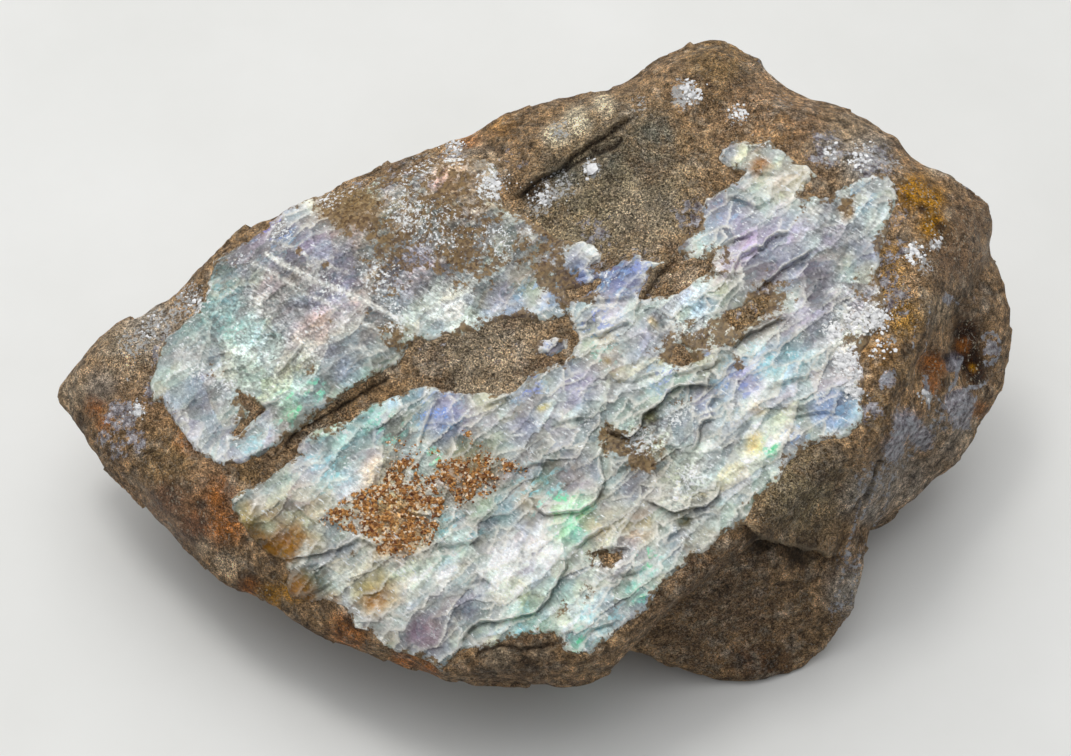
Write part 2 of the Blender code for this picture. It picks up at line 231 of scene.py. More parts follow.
# Dabs of tint on the opal: tint, middle (pixels), radius (pixels) and strength.
OPAL_DABS = (
    # Left field: lilac at the top, grey and teal in the middle, pale cyan at the foot.
    ("grey", 250, 350, 120, 0.45), ("lilac", 320, 285, 80, 0.9), ("lilac", 275, 238, 42, 0.7),
    ("plum", 300, 275, 24, 0.4), ("grey", 240, 285, 34, 0.6), ("teal", 225, 325, 40, 0.5),
    ("grey", 268, 335, 30, 0.4), ("grey", 208, 372, 30, 0.7), ("cyan", 250, 378, 34, 0.7),
    ("cyan", 262, 340, 30, 0.5), ("teal", 300, 388, 34, 0.6), ("cyan", 238, 432, 44, 0.5),
    ("grey", 230, 430, 22, 0.6), ("grey", 348, 352, 34, 0.6), ("smoke", 378, 330, 26, 0.5),
    ("green", 288, 408, 12, 0.7), ("blue", 345, 372, 18, 0.4), ("olive", 305, 368, 12, 0.5),
    ("smoke", 265, 262, 60, 0.4), ("smoke", 262, 300, 90, 0.3), ("smoke", 235, 425, 40, 0.35),
    ("smoke", 260, 340, 120, 0.25), ("plum", 320, 330, 22, 0.5),
    # Strip: smoky and sanded, with a pale streak below.
    ("smoke", 430, 225, 90, 0.95), ("rust", 346, 205, 40, 0.8), ("smoke", 385, 265, 50, 0.7),
    ("lilac", 410, 270, 34, 0.4), ("rust", 470, 175, 44, 0.6), ("smoke", 520, 250, 50, 0.7),
    ("milk", 452, 320, 22, 0.6), ("violet", 510, 308, 26, 0.6), ("sky", 395, 305, 20, 0.4),
    # Violet and blue shards under the sandstone.
    ("indigo", 580, 280, 26, 0.9), ("indigo", 625, 276, 26, 0.9), ("indigo", 560, 312, 26, 0.6),
    ("lilac", 605, 322, 30, 0.5), ("grey", 655, 318, 30, 0.5), ("sky", 700, 300, 22, 0.7),
    ("indigo", 640, 290, 14, 0.6), ("indigo", 612, 282, 24, 0.5), ("violet", 552, 345, 18, 0.6),
    # Middle: cream and milk between lilac and grey.
    ("cream", 605, 360, 34, 0.6), ("grey", 640, 345, 28, 0.8), ("violet", 575, 388, 30, 0.4),
    ("lilac", 530, 412, 34, 0.7), ("violet", 448, 410, 32, 0.7), ("blue", 440, 425, 22, 0.4),
    ("grey", 578, 438, 34, 0.6), ("milk", 560, 405, 20, 0.5), ("milk", 615, 410, 26, 0.5),
    ("smoke", 650, 418, 18, 0.8), ("lilac", 530, 452, 34, 0.4), ("milk", 558, 450, 22, 0.6),
    ("lilac", 580, 476, 30, 0.6), ("plum", 628, 482, 24, 0.5), ("smoke", 640, 452, 30, 0.8),
    ("white", 690, 478, 30, 0.6), ("grey", 686, 425, 32, 1.0), ("violet", 705, 400, 20, 0.5),
    ("grey", 676, 545, 26, 0.7),
    # Front field: cyan and white at the left, then rust, milk, a plum lens and mint green.
    ("cyan", 408, 405, 24, 0.7), ("teal", 345, 450, 40, 0.6), ("cyan", 362, 428, 30, 0.7),
    ("white", 292, 462, 34, 0.7), ("white", 258, 498, 24, 0.6), ("white", 370, 462, 24, 0.6),
    ("cyan", 320, 475, 30, 0.5), ("rust", 398, 520, 50, 0.95), ("rust", 470, 476, 40, 0.85),
    ("cream", 383, 480, 26, 1.0), ("rust", 268, 540, 42, 0.9), ("amber", 262, 549, 24, 1.0),
    ("amber", 286, 548, 20, 1.0), ("amber", 246, 530, 14, 0.9), ("cream", 270, 526, 10, 0.9),
    ("amber", 300, 536, 12, 0.9), ("straw", 318, 545, 14, 0.7), ("straw", 245, 515, 14, 0.7),
    ("cream", 306, 508, 26, 0.6), ("grey", 330, 562, 26, 0.5), ("white", 345, 578, 24, 0.5),
    ("straw", 378, 592, 28, 1.0), ("amber", 378, 598, 14, 0.8), ("olive", 315, 578, 18, 0.9),
    ("amber", 298, 594, 24, 1.0), ("amber", 330, 600, 14, 0.6), ("white", 405, 578, 24, 0.5),
    ("cyan", 450, 548, 26, 0.6), ("milk", 490, 565, 50, 0.8), ("grey", 535, 575, 24, 0.3),
    ("lilac", 455, 612, 26, 0.6), ("plum", 424, 632, 30, 1.0), ("grey", 490, 598, 24, 0.4),
    ("teal", 490, 508, 28, 0.6), ("straw", 528, 500, 18, 0.5), ("teal", 545, 488, 20, 0.6),
    ("green", 575, 520, 24, 1.0), ("milk", 560, 524, 8, 0.6), ("cream", 610, 525, 30, 0.5),
    ("rust", 642, 530, 22, 0.4), ("grey", 608, 590, 28, 0.4), ("teal", 640, 590, 24, 0.7),
    ("teal", 530, 626, 28, 0.7), ("cyan", 590, 632, 30, 0.6), ("green", 578, 645, 12, 0.6),
    ("grey", 545, 625, 20, 0.4), ("teal", 560, 590, 18, 0.5),
    # Right field: pale blue and white, greyer and browner towards the top.
    ("sky", 745, 372, 36, 0.7), ("violet", 742, 380, 20, 0.5), ("cyan", 785, 362, 34, 0.7),
    ("grey", 800, 400, 20, 0.4), ("milk", 812, 392, 34, 0.6), ("blue", 836, 410, 24, 0.5),
    ("sky", 745, 425, 34, 0.5), ("straw", 755, 445, 14, 0.8), ("straw", 756, 410, 10, 0.6),
    ("milk", 722, 474, 26, 0.6), ("green", 772, 448, 12, 0.6), ("lilac", 795, 436, 16, 0.5),
    ("grey", 820, 318, 34, 0.9), ("smoke", 758, 312, 40, 0.7), ("lilac", 812, 274, 30, 0.7),
    ("lilac", 765, 256, 40, 0.8), ("lilac", 795, 226, 34, 0.6), ("lilac", 725, 222, 36, 0.8),
    ("cream", 788, 180, 28, 0.9), ("cream", 745, 155, 26, 0.9), ("lilac", 725, 152, 14, 0.6),
    ("amber", 762, 168, 10, 0.9), ("grey", 850, 215, 34, 0.8), ("lilac", 838, 235, 20, 0.7),
    ("lilac", 868, 250, 26, 0.7), ("rust", 848, 210, 12, 0.8), ("cream", 868, 275, 14, 0.6),
    ("cream", 866, 172, 12, 0.8), ("milk", 800, 205, 20, 0.6), ("plum", 815, 285, 20, 0.5),
    # Small yellow stains, and painted shadow in the hollows under ledges.
    ("straw", 605, 360, 6, 0.9), ("straw", 655, 325, 6, 0.9), ("straw", 655, 360, 6, 0.8),
    ("straw", 540, 408, 6, 0.9), ("olive", 681, 519, 11, 1.0), ("olive", 648, 417, 8, 0.9),
    ("olive", 612, 434, 8, 0.7), ("blue", 836, 408, 26, 0.4), ("smoke", 840, 235, 34, 0.5),
)

# Strong tints of the fire, and the slight casts that single shells have.
FIRE = {"green": "#6FE3A2", "violet": "#8583D6", "cyan": "#9ADCE6", "blue": "#7F9FE6"}
SHELL_TINTS = ((0.8, 0.3), (0.8, 0.42), (0.6, 0.36), (0.5, 0.36))  # each layer's cast and spread of light
# Painted light and shade across each plate: lighter at its high lip, darker at its low foot where the plate
# above would shade it.
PLATE_SHADING = (0.5, 0.45)  # how much lighter each layer of plates is at its high end
CASTS = (
    (0.95, 0.98, 1.06), (0.93, 1.01, 1.02), (1.02, 0.96, 1.04), (1.09, 1.03, 0.9), (1.0, 1.0, 1.0),
    (1.2, 1.2, 1.19), (0.76, 0.77, 0.78), (0.95, 1.03, 0.99),
)
# Where the opal is crushed and speckled, not clean flakes: middle (pixels), radius (pixels) and strength.
CRUSHED_DABS = (
    (270, 330, 100, 0.8), (440, 230, 110, 1.0), (650, 440, 34, 1.0), (690, 485, 30, 0.7),
    (860, 320, 44, 1.0), (690, 325, 40, 0.8), (840, 215, 40, 0.6), (610, 560, 26, 0.6), (400, 510, 60, 0.9),
)
# Where the broken relief is calm: middle (pixels), radius (pixels) and strength.
CALM_DABS = (
    (270, 350, 120, 1.0), (450, 240, 120, 1.0), (850, 230, 60, 0.8), (424, 632, 24, 1.0), (500, 575, 24, 0.7),
)
CALMING = 0.65  # how much of the relief is missing where it is calmest
BORDER_DROP = 2.2  # how far (mm) the seam's top dips under the rock outside its border
LONG_PLATES, LONG_SHELLS = 1.4, 1.3  # how much longer than wide they are
STRIKE = math.radians(-40)  # the way, in the picture, along which plates and shells are longest
# Overlapping plates, coarse to fine: size (mm), slope, how wavy their borders are, and a seed.
PLATES = ((7.5, 0.025, 0.08, 75), (3.0, 0.045, 0.08, 76))
# Finer scooped shells: size (mm), slope, how much they lean to the lower right, waviness and a seed.
SHELLS = ((4.2, 0.11, 0.6, 0.16, 72), (1.6, 0.13, 0.4, 0.12, 73))
# Cream lines on the opal: half width (mm), strength and the line (pixels).
STREAKS = (
    (0.22, 0.9, ((262, 252), (285, 265), (300, 273), (330, 288), (365, 303), (402, 322))),
    (0.14, 0.6, ((250, 262), (280, 278), (310, 295), (345, 314), (380, 332))),
    (0.12, 0.5, ((272, 240), (300, 252), (330, 268), (352, 276))),
    (0.16, 0.6, ((383, 282), (392, 290), (396, 299))),
    (0.12, 0.4, ((240, 300), (270, 318), (300, 338), (325, 352))),
    (0.14, 0.5, ((345, 345), (370, 352), (392, 352))),
    (0.16, 0.5, ((470, 575), (500, 566), (540, 556), (566, 560))),
    (0.12, 0.4, ((560, 400), (590, 392), (618, 380), (640, 372))),
    (0.12, 0.5, ((770, 198), (800, 206), (830, 214))),
)

HOST_TONES = {
    "ironstone": "#82694C",
    "sandstone": "#7F7360",
    "olive": "#6F6651",
    "drab": "#645A44",
    "moss": "#54544A",
    "rind": "#8A6C4F",
    "tan": "#705A3B",
    "toast": "#735A41",
    "bark": "#574635",
    "russet": "#8C5420",
    "rust": "#8F6836",
    "mustard": "#8C692F",
    "maroon": "#55362B",
    "dark": "#3A2C22",
    "umber": "#2E1808",
    "honey": "#97690E",
    "cream": "#BFB49A",
    "fawn": "#9C8A72",
    "slate": "#8C8983",
    "mauve": "#8A8797",
}
# Dabs of tone on the host: tone, middle (pixels), radius (pixels) and strength.
HOST_DABS = (
    # Left lobe; the bark at its left and lower rim is painted shade.
    ("rind", 150, 470, 120, 0.9), ("tan", 130, 440, 60, 0.5), ("russet", 210, 515, 30, 0.6),
    ("fawn", 140, 340, 52, 1.0), ("slate", 150, 325, 30, 0.5), ("fawn", 78, 382, 20, 0.7),
    ("russet", 94, 405, 14, 0.9), ("russet", 104, 424, 11, 0.8), ("bark", 70, 432, 24, 0.6),
    ("bark", 150, 366, 16, 0.6), ("tan", 165, 462, 36, 0.9), ("bark", 108, 486, 20, 0.6),
    ("russet", 188, 440, 16, 0.6), ("maroon", 168, 498, 22, 0.6), ("maroon", 192, 528, 20, 0.6),
    ("dark", 202, 503, 8, 0.9), ("russet", 222, 492, 20, 0.8), ("russet", 226, 530, 22, 0.8),
    ("fawn", 228, 562, 17, 0.9), ("fawn", 203, 547, 12, 0.7), ("dark", 247, 576, 11, 0.6),
    ("russet", 250, 588, 13, 1.0), ("honey", 270, 597, 16, 1.0), ("umber", 262, 603, 6, 0.7),
    ("honey", 294, 588, 17, 1.0), ("tan", 246, 472, 20, 0.7), ("fawn", 85, 358, 12, 0.5),
    # Middle patch and the front rim.
    ("sandstone", 470, 360, 70, 0.8), ("bark", 432, 382, 20, 0.6), ("fawn", 500, 352, 22, 0.5),
    ("fawn", 385, 372, 14, 0.6), ("ironstone", 330, 415, 44, 0.6), ("bark", 302, 440, 14, 0.7),
    ("dark", 510, 670, 50, 0.5), ("russet", 350, 630, 26, 0.8), ("russet", 405, 660, 16, 0.9),
    ("russet", 430, 668, 14, 0.9), ("fawn", 500, 656, 20, 0.7), ("fawn", 540, 652, 14, 0.5),
    # Sandstone above the seam, its gash and the top.
    ("olive", 620, 190, 95, 0.9), ("sandstone", 645, 218, 40, 0.8), ("olive", 560, 230, 50, 0.7),
    ("moss", 655, 140, 30, 0.9), ("moss", 605, 152, 24, 0.9), ("moss", 565, 174, 22, 0.9),
    ("dark", 535, 192, 13, 0.8), ("fawn", 480, 160, 30, 0.6), ("russet", 470, 140, 14, 0.6),
    ("rust", 500, 128, 22, 0.6), ("cream", 578, 121, 17, 1.0), ("cream", 556, 136, 14, 0.9),
    ("cream", 604, 106, 13, 0.8), ("tan", 720, 60, 44, 0.9), ("bark", 740, 92, 22, 0.5),
    ("rind", 760, 110, 40, 0.5), ("toast", 800, 130, 34, 0.7), ("bark", 880, 120, 40, 0.4),
    ("fawn", 845, 155, 44, 0.7), ("slate", 868, 162, 30, 0.9), ("slate", 830, 150, 20, 0.6),
    ("rind", 800, 120, 24, 0.5), ("toast", 820, 175, 24, 0.6), ("ironstone", 690, 280, 40, 0.6),
    ("tan", 750, 310, 40, 0.7), ("sandstone", 520, 300, 60, 0.5),
    # Right flank: amber glass, sandy gold, smooth brown and the two cavities.
    ("rind", 925, 165, 30, 0.7), ("fawn", 932, 170, 12, 0.8), ("honey", 914, 190, 23, 1.0),
    ("honey", 934, 200, 17, 1.0), ("honey", 934, 226, 17, 1.0), ("umber", 940, 228, 7, 0.8),
    ("umber", 922, 208, 6, 0.9), ("umber", 904, 196, 4, 0.8), ("umber", 930, 186, 4, 0.7),
    ("fawn", 950, 214, 8, 0.9), ("toast", 970, 215, 28, 0.9), ("toast", 955, 258, 30, 1.0),
    ("bark", 965, 300, 28, 0.8), ("mustard", 890, 262, 20, 0.9), ("mustard", 888, 287, 16, 1.0),
    ("mustard", 905, 318, 24, 0.9), ("rust", 880, 352, 22, 0.8), ("sandstone", 935, 310, 20, 0.6),
    ("tan", 900, 372, 22, 0.6), ("umber", 966, 334, 21, 1.0), ("umber", 968, 358, 21, 1.0),
    ("umber", 976, 376, 18, 1.0), ("russet", 962, 346, 9, 1.0), ("honey", 972, 368, 5, 0.8),
    ("russet", 934, 364, 16, 1.0), ("russet", 934, 384, 12, 0.9), ("umber", 945, 358, 6, 1.0),
    ("russet", 931, 388, 8, 1.0), ("mauve", 952, 360, 9, 0.8), ("mauve", 958, 402, 14, 0.9),
    ("fawn", 940, 436, 12, 0.8), ("russet", 978, 410, 12, 0.7), ("fawn", 966, 436, 14, 0.6),
    ("mauve", 905, 422, 15, 0.7), ("mauve", 893, 445, 13, 0.7), ("mauve", 922, 436, 13, 0.7),
    ("tan", 875, 410, 24, 0.7), ("slate", 905, 480, 36, 0.5), ("slate", 945, 440, 30, 0.4),
    ("fawn", 70, 400, 16, 0.6), ("slate", 100, 385, 22, 0.5),
    # Ridge, base block and toe.
    ("drab", 800, 490, 60, 0.9), ("slate", 866, 500, 30, 0.7), ("slate", 850, 590, 30, 0.7),
    ("bark", 720, 600, 95, 0.8), ("umber", 700, 545, 34, 0.4), ("umber", 775, 664, 26, 0.8),
    ("maroon", 745, 660, 20, 0.4), ("slate", 640, 445, 34, 0.6),
)

RIM_SAND, RIM_WIDTH = 0.55, 2.2  # how sandy the opal is at its border, and how far in (mm) that fades
# Sandy matrix smeared over the opal: middle (pixels), radius (pixels) and strength.
SAND_DABS = (
    (348, 205, 46, 0.8), (390, 235, 30, 0.5), (430, 180, 50, 0.6), (490, 200, 34, 0.5), (440, 235, 64, 0.5),
    (480, 262, 44, 0.5), (540, 250, 34, 0.6), (556, 285, 26, 0.7), (470, 335, 26, 0.5), (520, 332, 30, 0.6),
    (385, 275, 40, 0.42), (395, 335, 22, 0.6), (360, 322, 16, 0.35), (310, 369, 9, 0.75),
    (215, 372, 16, 0.4), (300, 250, 6, 0.85), (325, 265, 6, 0.75), (240, 275, 22, 0.3),
    (322, 330, 24, 0.35), (242, 410, 16, 0.45), (580, 296, 26, 0.35), (660, 352, 20, 0.5),
    (680, 402, 20, 0.55), (640, 448, 34, 0.66), (610, 445, 18, 0.45), (705, 350, 18, 0.5),
    (690, 335, 26, 0.5), (722, 330, 20, 0.75), (770, 298, 34, 0.62), (740, 352, 22, 0.5),
    (738, 366, 8, 0.8), (800, 215, 24, 0.35), (848, 208, 14, 0.8), (715, 262, 30, 0.5), (868, 290, 30, 0.5),
    (884, 240, 20, 0.5), (690, 225, 16, 0.5), (640, 465, 20, 0.45), (605, 560, 18, 0.5),
    (565, 608, 14, 0.5), (350, 555, 16, 0.3), (400, 505, 55, 0.38), (430, 660, 14, 0.6),
    (480, 475, 36, 0.35), (585, 592, 14, 0.45), (858, 345, 24, 0.62), (878, 322, 16, 0.55),
    (836, 326, 10, 0.5), (762, 168, 7, 0.6),
)
# Flashes of fire on single shells: tint, middle (pixels), radius (pixels) and strength.
FIRE_DABS = (
    ("green", 288, 410, 20, 0.9), ("green", 318, 393, 14, 0.7), ("green", 572, 518, 26, 1.0),
    ("green", 545, 505, 16, 0.8), ("green", 648, 562, 18, 1.0), ("green", 578, 645, 14, 0.9),
    ("green", 385, 425, 26, 0.6), ("green", 436, 456, 12, 1.0), ("green", 300, 400, 26, 0.6),
    ("cyan", 545, 486, 26, 0.7), ("green", 772, 448, 14, 0.9), ("green", 600, 350, 20, 0.6),
    ("green", 640, 592, 18, 0.7), ("green", 560, 508, 14, 0.7), ("green", 232, 330, 20, 0.4),
    ("violet", 600, 322, 28, 0.8), ("violet", 665, 378, 24, 0.8), ("violet", 525, 388, 22, 0.8),
    ("violet", 742, 385, 30, 0.8), ("violet", 272, 228, 30, 1.0), ("violet", 728, 212, 18, 0.6),
    ("violet", 440, 405, 28, 0.7), ("violet", 640, 268, 24, 0.8), ("violet", 705, 350, 18, 0.7),
    ("violet", 795, 432, 18, 0.6), ("violet", 540, 300, 30, 0.6), ("blue", 612, 280, 24, 0.6),
    ("blue", 838, 408, 20, 0.5), ("blue", 432, 420, 20, 0.8), ("blue", 550, 345, 16, 0.9),
    ("blue", 860, 195, 20, 0.5), ("cyan", 250, 440, 30, 0.6), ("cyan", 325, 465, 34, 0.6),
    ("cyan", 775, 360, 34, 0.6), ("cyan", 530, 490, 24, 0.6), ("cyan", 600, 620, 30, 0.5),
    ("cyan", 455, 535, 26, 0.7), ("cyan", 525, 630, 26, 0.5), ("cyan", 220, 300, 26, 0.4),
)

# Opal film over the rock: middle (pixels), radius (pixels) and strength.
FILM_DABS = (
    (590, 250, 34, 0.4), (400, 175, 26, 0.4), (640, 262, 26, 0.4), (880, 250, 40, 0.5), (895, 205, 24, 0.5),
    (890, 300, 30, 0.6), (120, 415, 24, 0.68), (137, 440, 18, 0.6), (155, 385, 18, 0.6),
    (165, 350, 24, 0.5), (690, 215, 24, 0.6), (868, 410, 22, 0.6), (650, 445, 30, 0.45),
    (745, 310, 30, 0.3), (640, 285, 30, 0.3), (600, 225, 26, 0.3), (825, 150, 30, 0.6), (875, 165, 26, 0.7),
    (455, 165, 26, 0.5), (515, 160, 20, 0.4), (350, 185, 22, 0.4), (430, 350, 30, 0.3), (500, 350, 26, 0.3),
    (990, 348, 11, 1.0), (951, 366, 10, 0.95), (958, 404, 18, 0.95), (905, 425, 20, 0.85),
    (893, 448, 16, 0.85), (922, 438, 16, 0.85), (888, 380, 11, 0.9), (962, 420, 16, 0.7),
    (948, 300, 8, 0.7), (103, 438, 12, 0.6), (118, 452, 12, 0.6), (150, 398, 12, 0.6), (970, 303, 10, 0.4),
)
# White crust and flecks: middle (pixels), radius (pixels) and strength.
FLECK_DABS = (
    (380, 280, 34, 0.36), (455, 148, 18, 0.6), (492, 182, 24, 0.55), (560, 185, 24, 0.6),
    (592, 168, 14, 0.7), (540, 205, 20, 0.6), (685, 95, 20, 0.8), (735, 116, 18, 0.55),
    (640, 105, 20, 0.45), (420, 165, 26, 0.4), (400, 210, 30, 0.34), (440, 230, 40, 0.34),
    (360, 180, 24, 0.35), (500, 240, 30, 0.35), (330, 200, 20, 0.4), (190, 300, 26, 0.62),
    (160, 325, 26, 0.58), (132, 345, 22, 0.55), (137, 410, 12, 0.8), (110, 440, 16, 0.4),
    (130, 375, 14, 0.4), (240, 262, 16, 0.35), (280, 235, 20, 0.4), (395, 320, 20, 0.4),
    (330, 290, 20, 0.35), (830, 155, 18, 0.6), (868, 158, 20, 0.65), (895, 165, 14, 0.5),
    (915, 252, 15, 0.65), (935, 245, 10, 0.7), (925, 268, 12, 0.6), (905, 290, 9, 0.5), (875, 320, 22, 0.5),
    (835, 330, 16, 0.45), (848, 362, 20, 0.5), (855, 395, 16, 0.5), (892, 342, 10, 0.6),
    (780, 105, 20, 0.4), (760, 140, 20, 0.3), (700, 330, 16, 0.3), (640, 440, 22, 0.45),
    (675, 415, 20, 0.45), (927, 398, 9, 0.8), (955, 405, 10, 0.4), (560, 130, 16, 0.55),
    (200, 375, 18, 0.4), (225, 385, 16, 0.4), (610, 275, 14, 0.3), (690, 478, 22, 0.45),
    (590, 425, 20, 0.35),
)
# Thin blue-white veins on the flanks: middle (pixels), radius (pixels) and strength.
VEIN_DABS = (
    (940, 422, 20, 0.7), (905, 430, 22, 0.8), (966, 402, 12, 0.6), (870, 480, 24, 0.7), (850, 560, 22, 0.7),
    (838, 605, 18, 0.6), (895, 458, 22, 0.7), (886, 380, 8, 0.8), (928, 390, 8, 0.6), (948, 300, 8, 0.5),
)
# Single veins of potch opal on the right flank: half width (mm), strength and the line (pixels).
VEIN_LINES = (
    (0.45, 1.0, ((979, 340), (983, 333), (990, 331), (996, 335), (999, 345), (997, 357), (990, 365),
                 (982, 362))),
    (0.3, 0.9, ((944, 290), (950, 298), (958, 306))),
    (0.4, 0.9, ((948, 392), (953, 378), (955, 366), (961, 356))),
    (0.4, 1.0, ((958, 392), (966, 387), (976, 388), (985, 384))),
    (0.35, 0.9, ((948, 420), (958, 412), (968, 406), (976, 397))),
    (0.6, 1.0, ((926, 378), (925, 392), (928, 408))), (0.3, 0.8, ((934, 396), (940, 404), (943, 416))),
    (0.5, 0.8, ((882, 388), (888, 378), (894, 372))), (0.25, 0.7, ((900, 400), (895, 420), (888, 440))),
    (0.25, 0.7, ((912, 405), (908, 430), (900, 452))), (0.3, 0.7, ((920, 430), (916, 446), (908, 458))),
    (0.25, 0.7, ((872, 462), (862, 486), (852, 512))), (0.3, 0.8, ((884, 462), (874, 490), (862, 520))),
    (0.25, 0.7, ((896, 468), (884, 498), (874, 530))), (0.3, 0.7, ((862, 500), (850, 540), (842, 580))),
    (0.25, 0.7, ((872, 520), (862, 552), (852, 590))), (0.25, 0.6, ((846, 560), (836, 596), (826, 630))),
    (0.25, 0.6, ((858, 580), (848, 610), (838, 632))), (0.2, 0.6, ((930, 300), (928, 330), (922, 360))),
    (0.2, 0.6, ((922, 290), (918, 320), (912, 350))),
)
# Where the rock is sandstone rather than smooth rind: middle (pixels), radius (pixels) and strength.
SANDY_DABS = (
    (620, 190, 110, 1.0), (480, 360, 90, 1.0), (330, 420, 40, 0.8), (700, 290, 90, 1.0),
    (640, 445, 40, 1.0), (800, 490, 60, 0.7), (720, 600, 90, 0.5), (350, 210, 60, 0.8), (740, 90, 50, 0.6),
    (540, 250, 70, 1.0), (890, 300, 40, 1.0), (600, 555, 20, 1.0), (240, 420, 30, 0.8), (130, 350, 40, 0.7),
    (228, 562, 20, 0.8),
)
# Where the rock is glassy or waxy: middle (pixels), radius (pixels) and strength.
GLOSS_DABS = (
    (914, 190, 22, 1.0), (934, 200, 17, 1.0), (934, 226, 16, 1.0), (294, 588, 16, 1.0), (268, 595, 16, 0.9),
    (966, 332, 20, 1.0), (968, 358, 20, 1.0), (976, 376, 15, 0.9), (934, 366, 14, 0.8), (934, 384, 10, 0.7),
    (945, 358, 6, 0.9), (952, 360, 9, 0.5), (958, 402, 13, 0.5), (180, 510, 54, 0.6), (962, 245, 46, 0.75),
    (95, 400, 30, 0.4), (850, 600, 30, 0.3), (880, 470, 30, 0.4), (545, 180, 26, 0.3), (430, 668, 12, 0.5),
    (905, 425, 15, 0.3),
)
# Painted shade in cracks, pockets and hollows and under an overhang: middle (pixels), radius (pixels) and
# strength.
PAINTED_SHADE_DABS = (
    (560, 170, 18, 0.4), (532, 188, 16, 0.4), (600, 150, 16, 0.3), (250, 572, 12, 0.5), (240, 590, 12, 0.4),
    (966, 352, 12, 0.3), (945, 358, 7, 0.8), (680, 520, 12, 0.7), (650, 418, 10, 0.6), (608, 431, 10, 0.5),
    (760, 540, 18, 0.9), (800, 552, 22, 0.9), (835, 560, 12, 0.7), (520, 658, 26, 0.5), (300, 250, 5, 0.8),
    (325, 265, 5, 0.8), (202, 505, 6, 0.5),
)
# Where strata show on the right flank and ridge: middle (pixels), radius (pixels) and strength.
STRATA_DABS = ((935, 400, 90, 1.0), (860, 520, 60, 0.9), (850, 620, 40, 0.8))
LUMP_WIDTH = 4.5  # width (mm) of the weathered lumps
BROKEN_FACES = (13, 9, 8)  # width, depth and height (mm) of the broken faces on the sides that face away
# Long cracks, as lines of points in pixels: half width in millimetres, depth in millimetres, the line.
CRACKS = (
    (0.2, 0.35, ((285, 446), (300, 430), (318, 421), (340, 410), (356, 398), (370, 390), (388, 378))),
    (0.25, 0.4, ((268, 256), (300, 273), (330, 288), (365, 303), (400, 320))),
    (0.20, 0.3, ((385, 283), (392, 290), (395, 298))),
    (0.30, 0.5, ((480, 650), (500, 646), (520, 650), (552, 644))),
    (0.3, 0.6, ((565, 170), (585, 158), (600, 150), (622, 140))),
    (0.30, 0.6, ((700, 385), (690, 396), (680, 402), (668, 408))),
    (0.25, 0.5, ((838, 548), (848, 520), (868, 490), (880, 462))),
)
# Cracks along which painted shade darkens the rock.
SHADED_CRACKS = CRACKS[:1] + CRACKS[3:]
CRACK_SEED = 40
LUMP_SHAPES = 8  # different shapes of grain or flake
# Where rust-coloured grains stick to the opal, then small islets of them: middle (pixels) and radius.
GRAIN_ZONE = (
    (318, 525), (325, 512), (345, 497), (365, 490), (382, 480), (392, 462), (412, 458), (418, 470),
    (430, 475), (440, 462), (470, 458), (495, 455), (520, 465), (505, 475), (500, 490), (480, 500),
    (448, 508), (440, 520), (430, 545), (400, 558), (380, 555), (375, 540), (345, 530),
)
ISLET_GRAINS = 24
GRAIN_ISLETS = ((395, 446, 9), (412, 452, 8), (468, 437, 8), (482, 449, 9), (435, 452, 6), (520, 470, 8))
# Clusters of white flakes: middle (pixels), radius (pixels) and half the number of flakes.
CRUST_CLUSTERS = (
    (875, 318, 12, 190), (833, 330, 8, 70), (852, 322, 9, 80), (847, 362, 12, 170), (853, 392, 8, 80),
    (915, 255, 9, 45), (935, 243, 6, 22), (862, 158, 13, 60), (830, 152, 8, 24), (690, 92, 11, 60),
    (455, 148, 12, 46), (495, 182, 14, 46), (545, 195, 14, 40), (590, 168, 7, 24), (738, 114, 8, 22),
    (137, 410, 8, 34), (925, 395, 6, 30), (190, 300, 12, 20), (150, 328, 12, 16), (880, 350, 10, 20),
)


def pixels(points):
    """Where points (millimetres) land in the camera's picture, in pixels."""
    ray = points - CAMERA_PLACE
    depth = ray @ LOOK
    return np.column_stack((
        PICTURE_WIDTH / 2 + FOCAL_PIXELS * ray[:, 0] / depth,
        PICTURE_HEIGHT / 2 - FOCAL_PIXELS * (ray @ PICTURE_UP) / depth,
    ))


def smoothstep(low, high, value):
    """Rise from 0 to 1 between low and high, with level ends."""
    share = np.clip((value - low) / (high - low), 0, 1)
    return share * share * (3 - 2 * share)


def scatter(cell, seed):
    """A repeatable number from 0 to 1 for each whole-numbered cell."""
    mixed = np.full(len(cell), 1013904223 + seed * 1664525, np.int64)
    for axis, prime in zip(cell.T, (374761393, 668265263, 1440662683)):
        mixed = (mixed ^ (axis * prime)) * 1274126177
        mixed &= 0xFFFFFFFF
        mixed ^= mixed >> 15
    return (mixed & 0xFFFFFF) / 0xFFFFFF


def cloud(points, grain, seed, layers=1):
    """Smooth noise from -1 to 1 with lumps of about one grain size, each further layer half as coarse."""
    value = np.zeros(len(points))
    weight = 1.0
    for layer in range(layers):
        scaled = points * (2 ** layer / grain) + seed * 7.31
        home = np.floor(scaled).astype(np.int64)
        share = scaled - home
        share = share * share * (3 - 2 * share)
        for corner in itertools.product((0, 1), repeat=points.shape[1]):
            corner = np.array(corner)
            near = np.prod(np.where(corner, share, 1 - share), axis=1)
            value += weight * near * (2 * scatter(home + corner, seed + layer) - 1)
        weight /= 2
    return value


def waver(points, grain, seeds, layers=1):
    """Two clouds side by side, to bend the flat places of points."""
    return np.column_stack([cloud(points, grain, seed, layers) for seed in seeds])


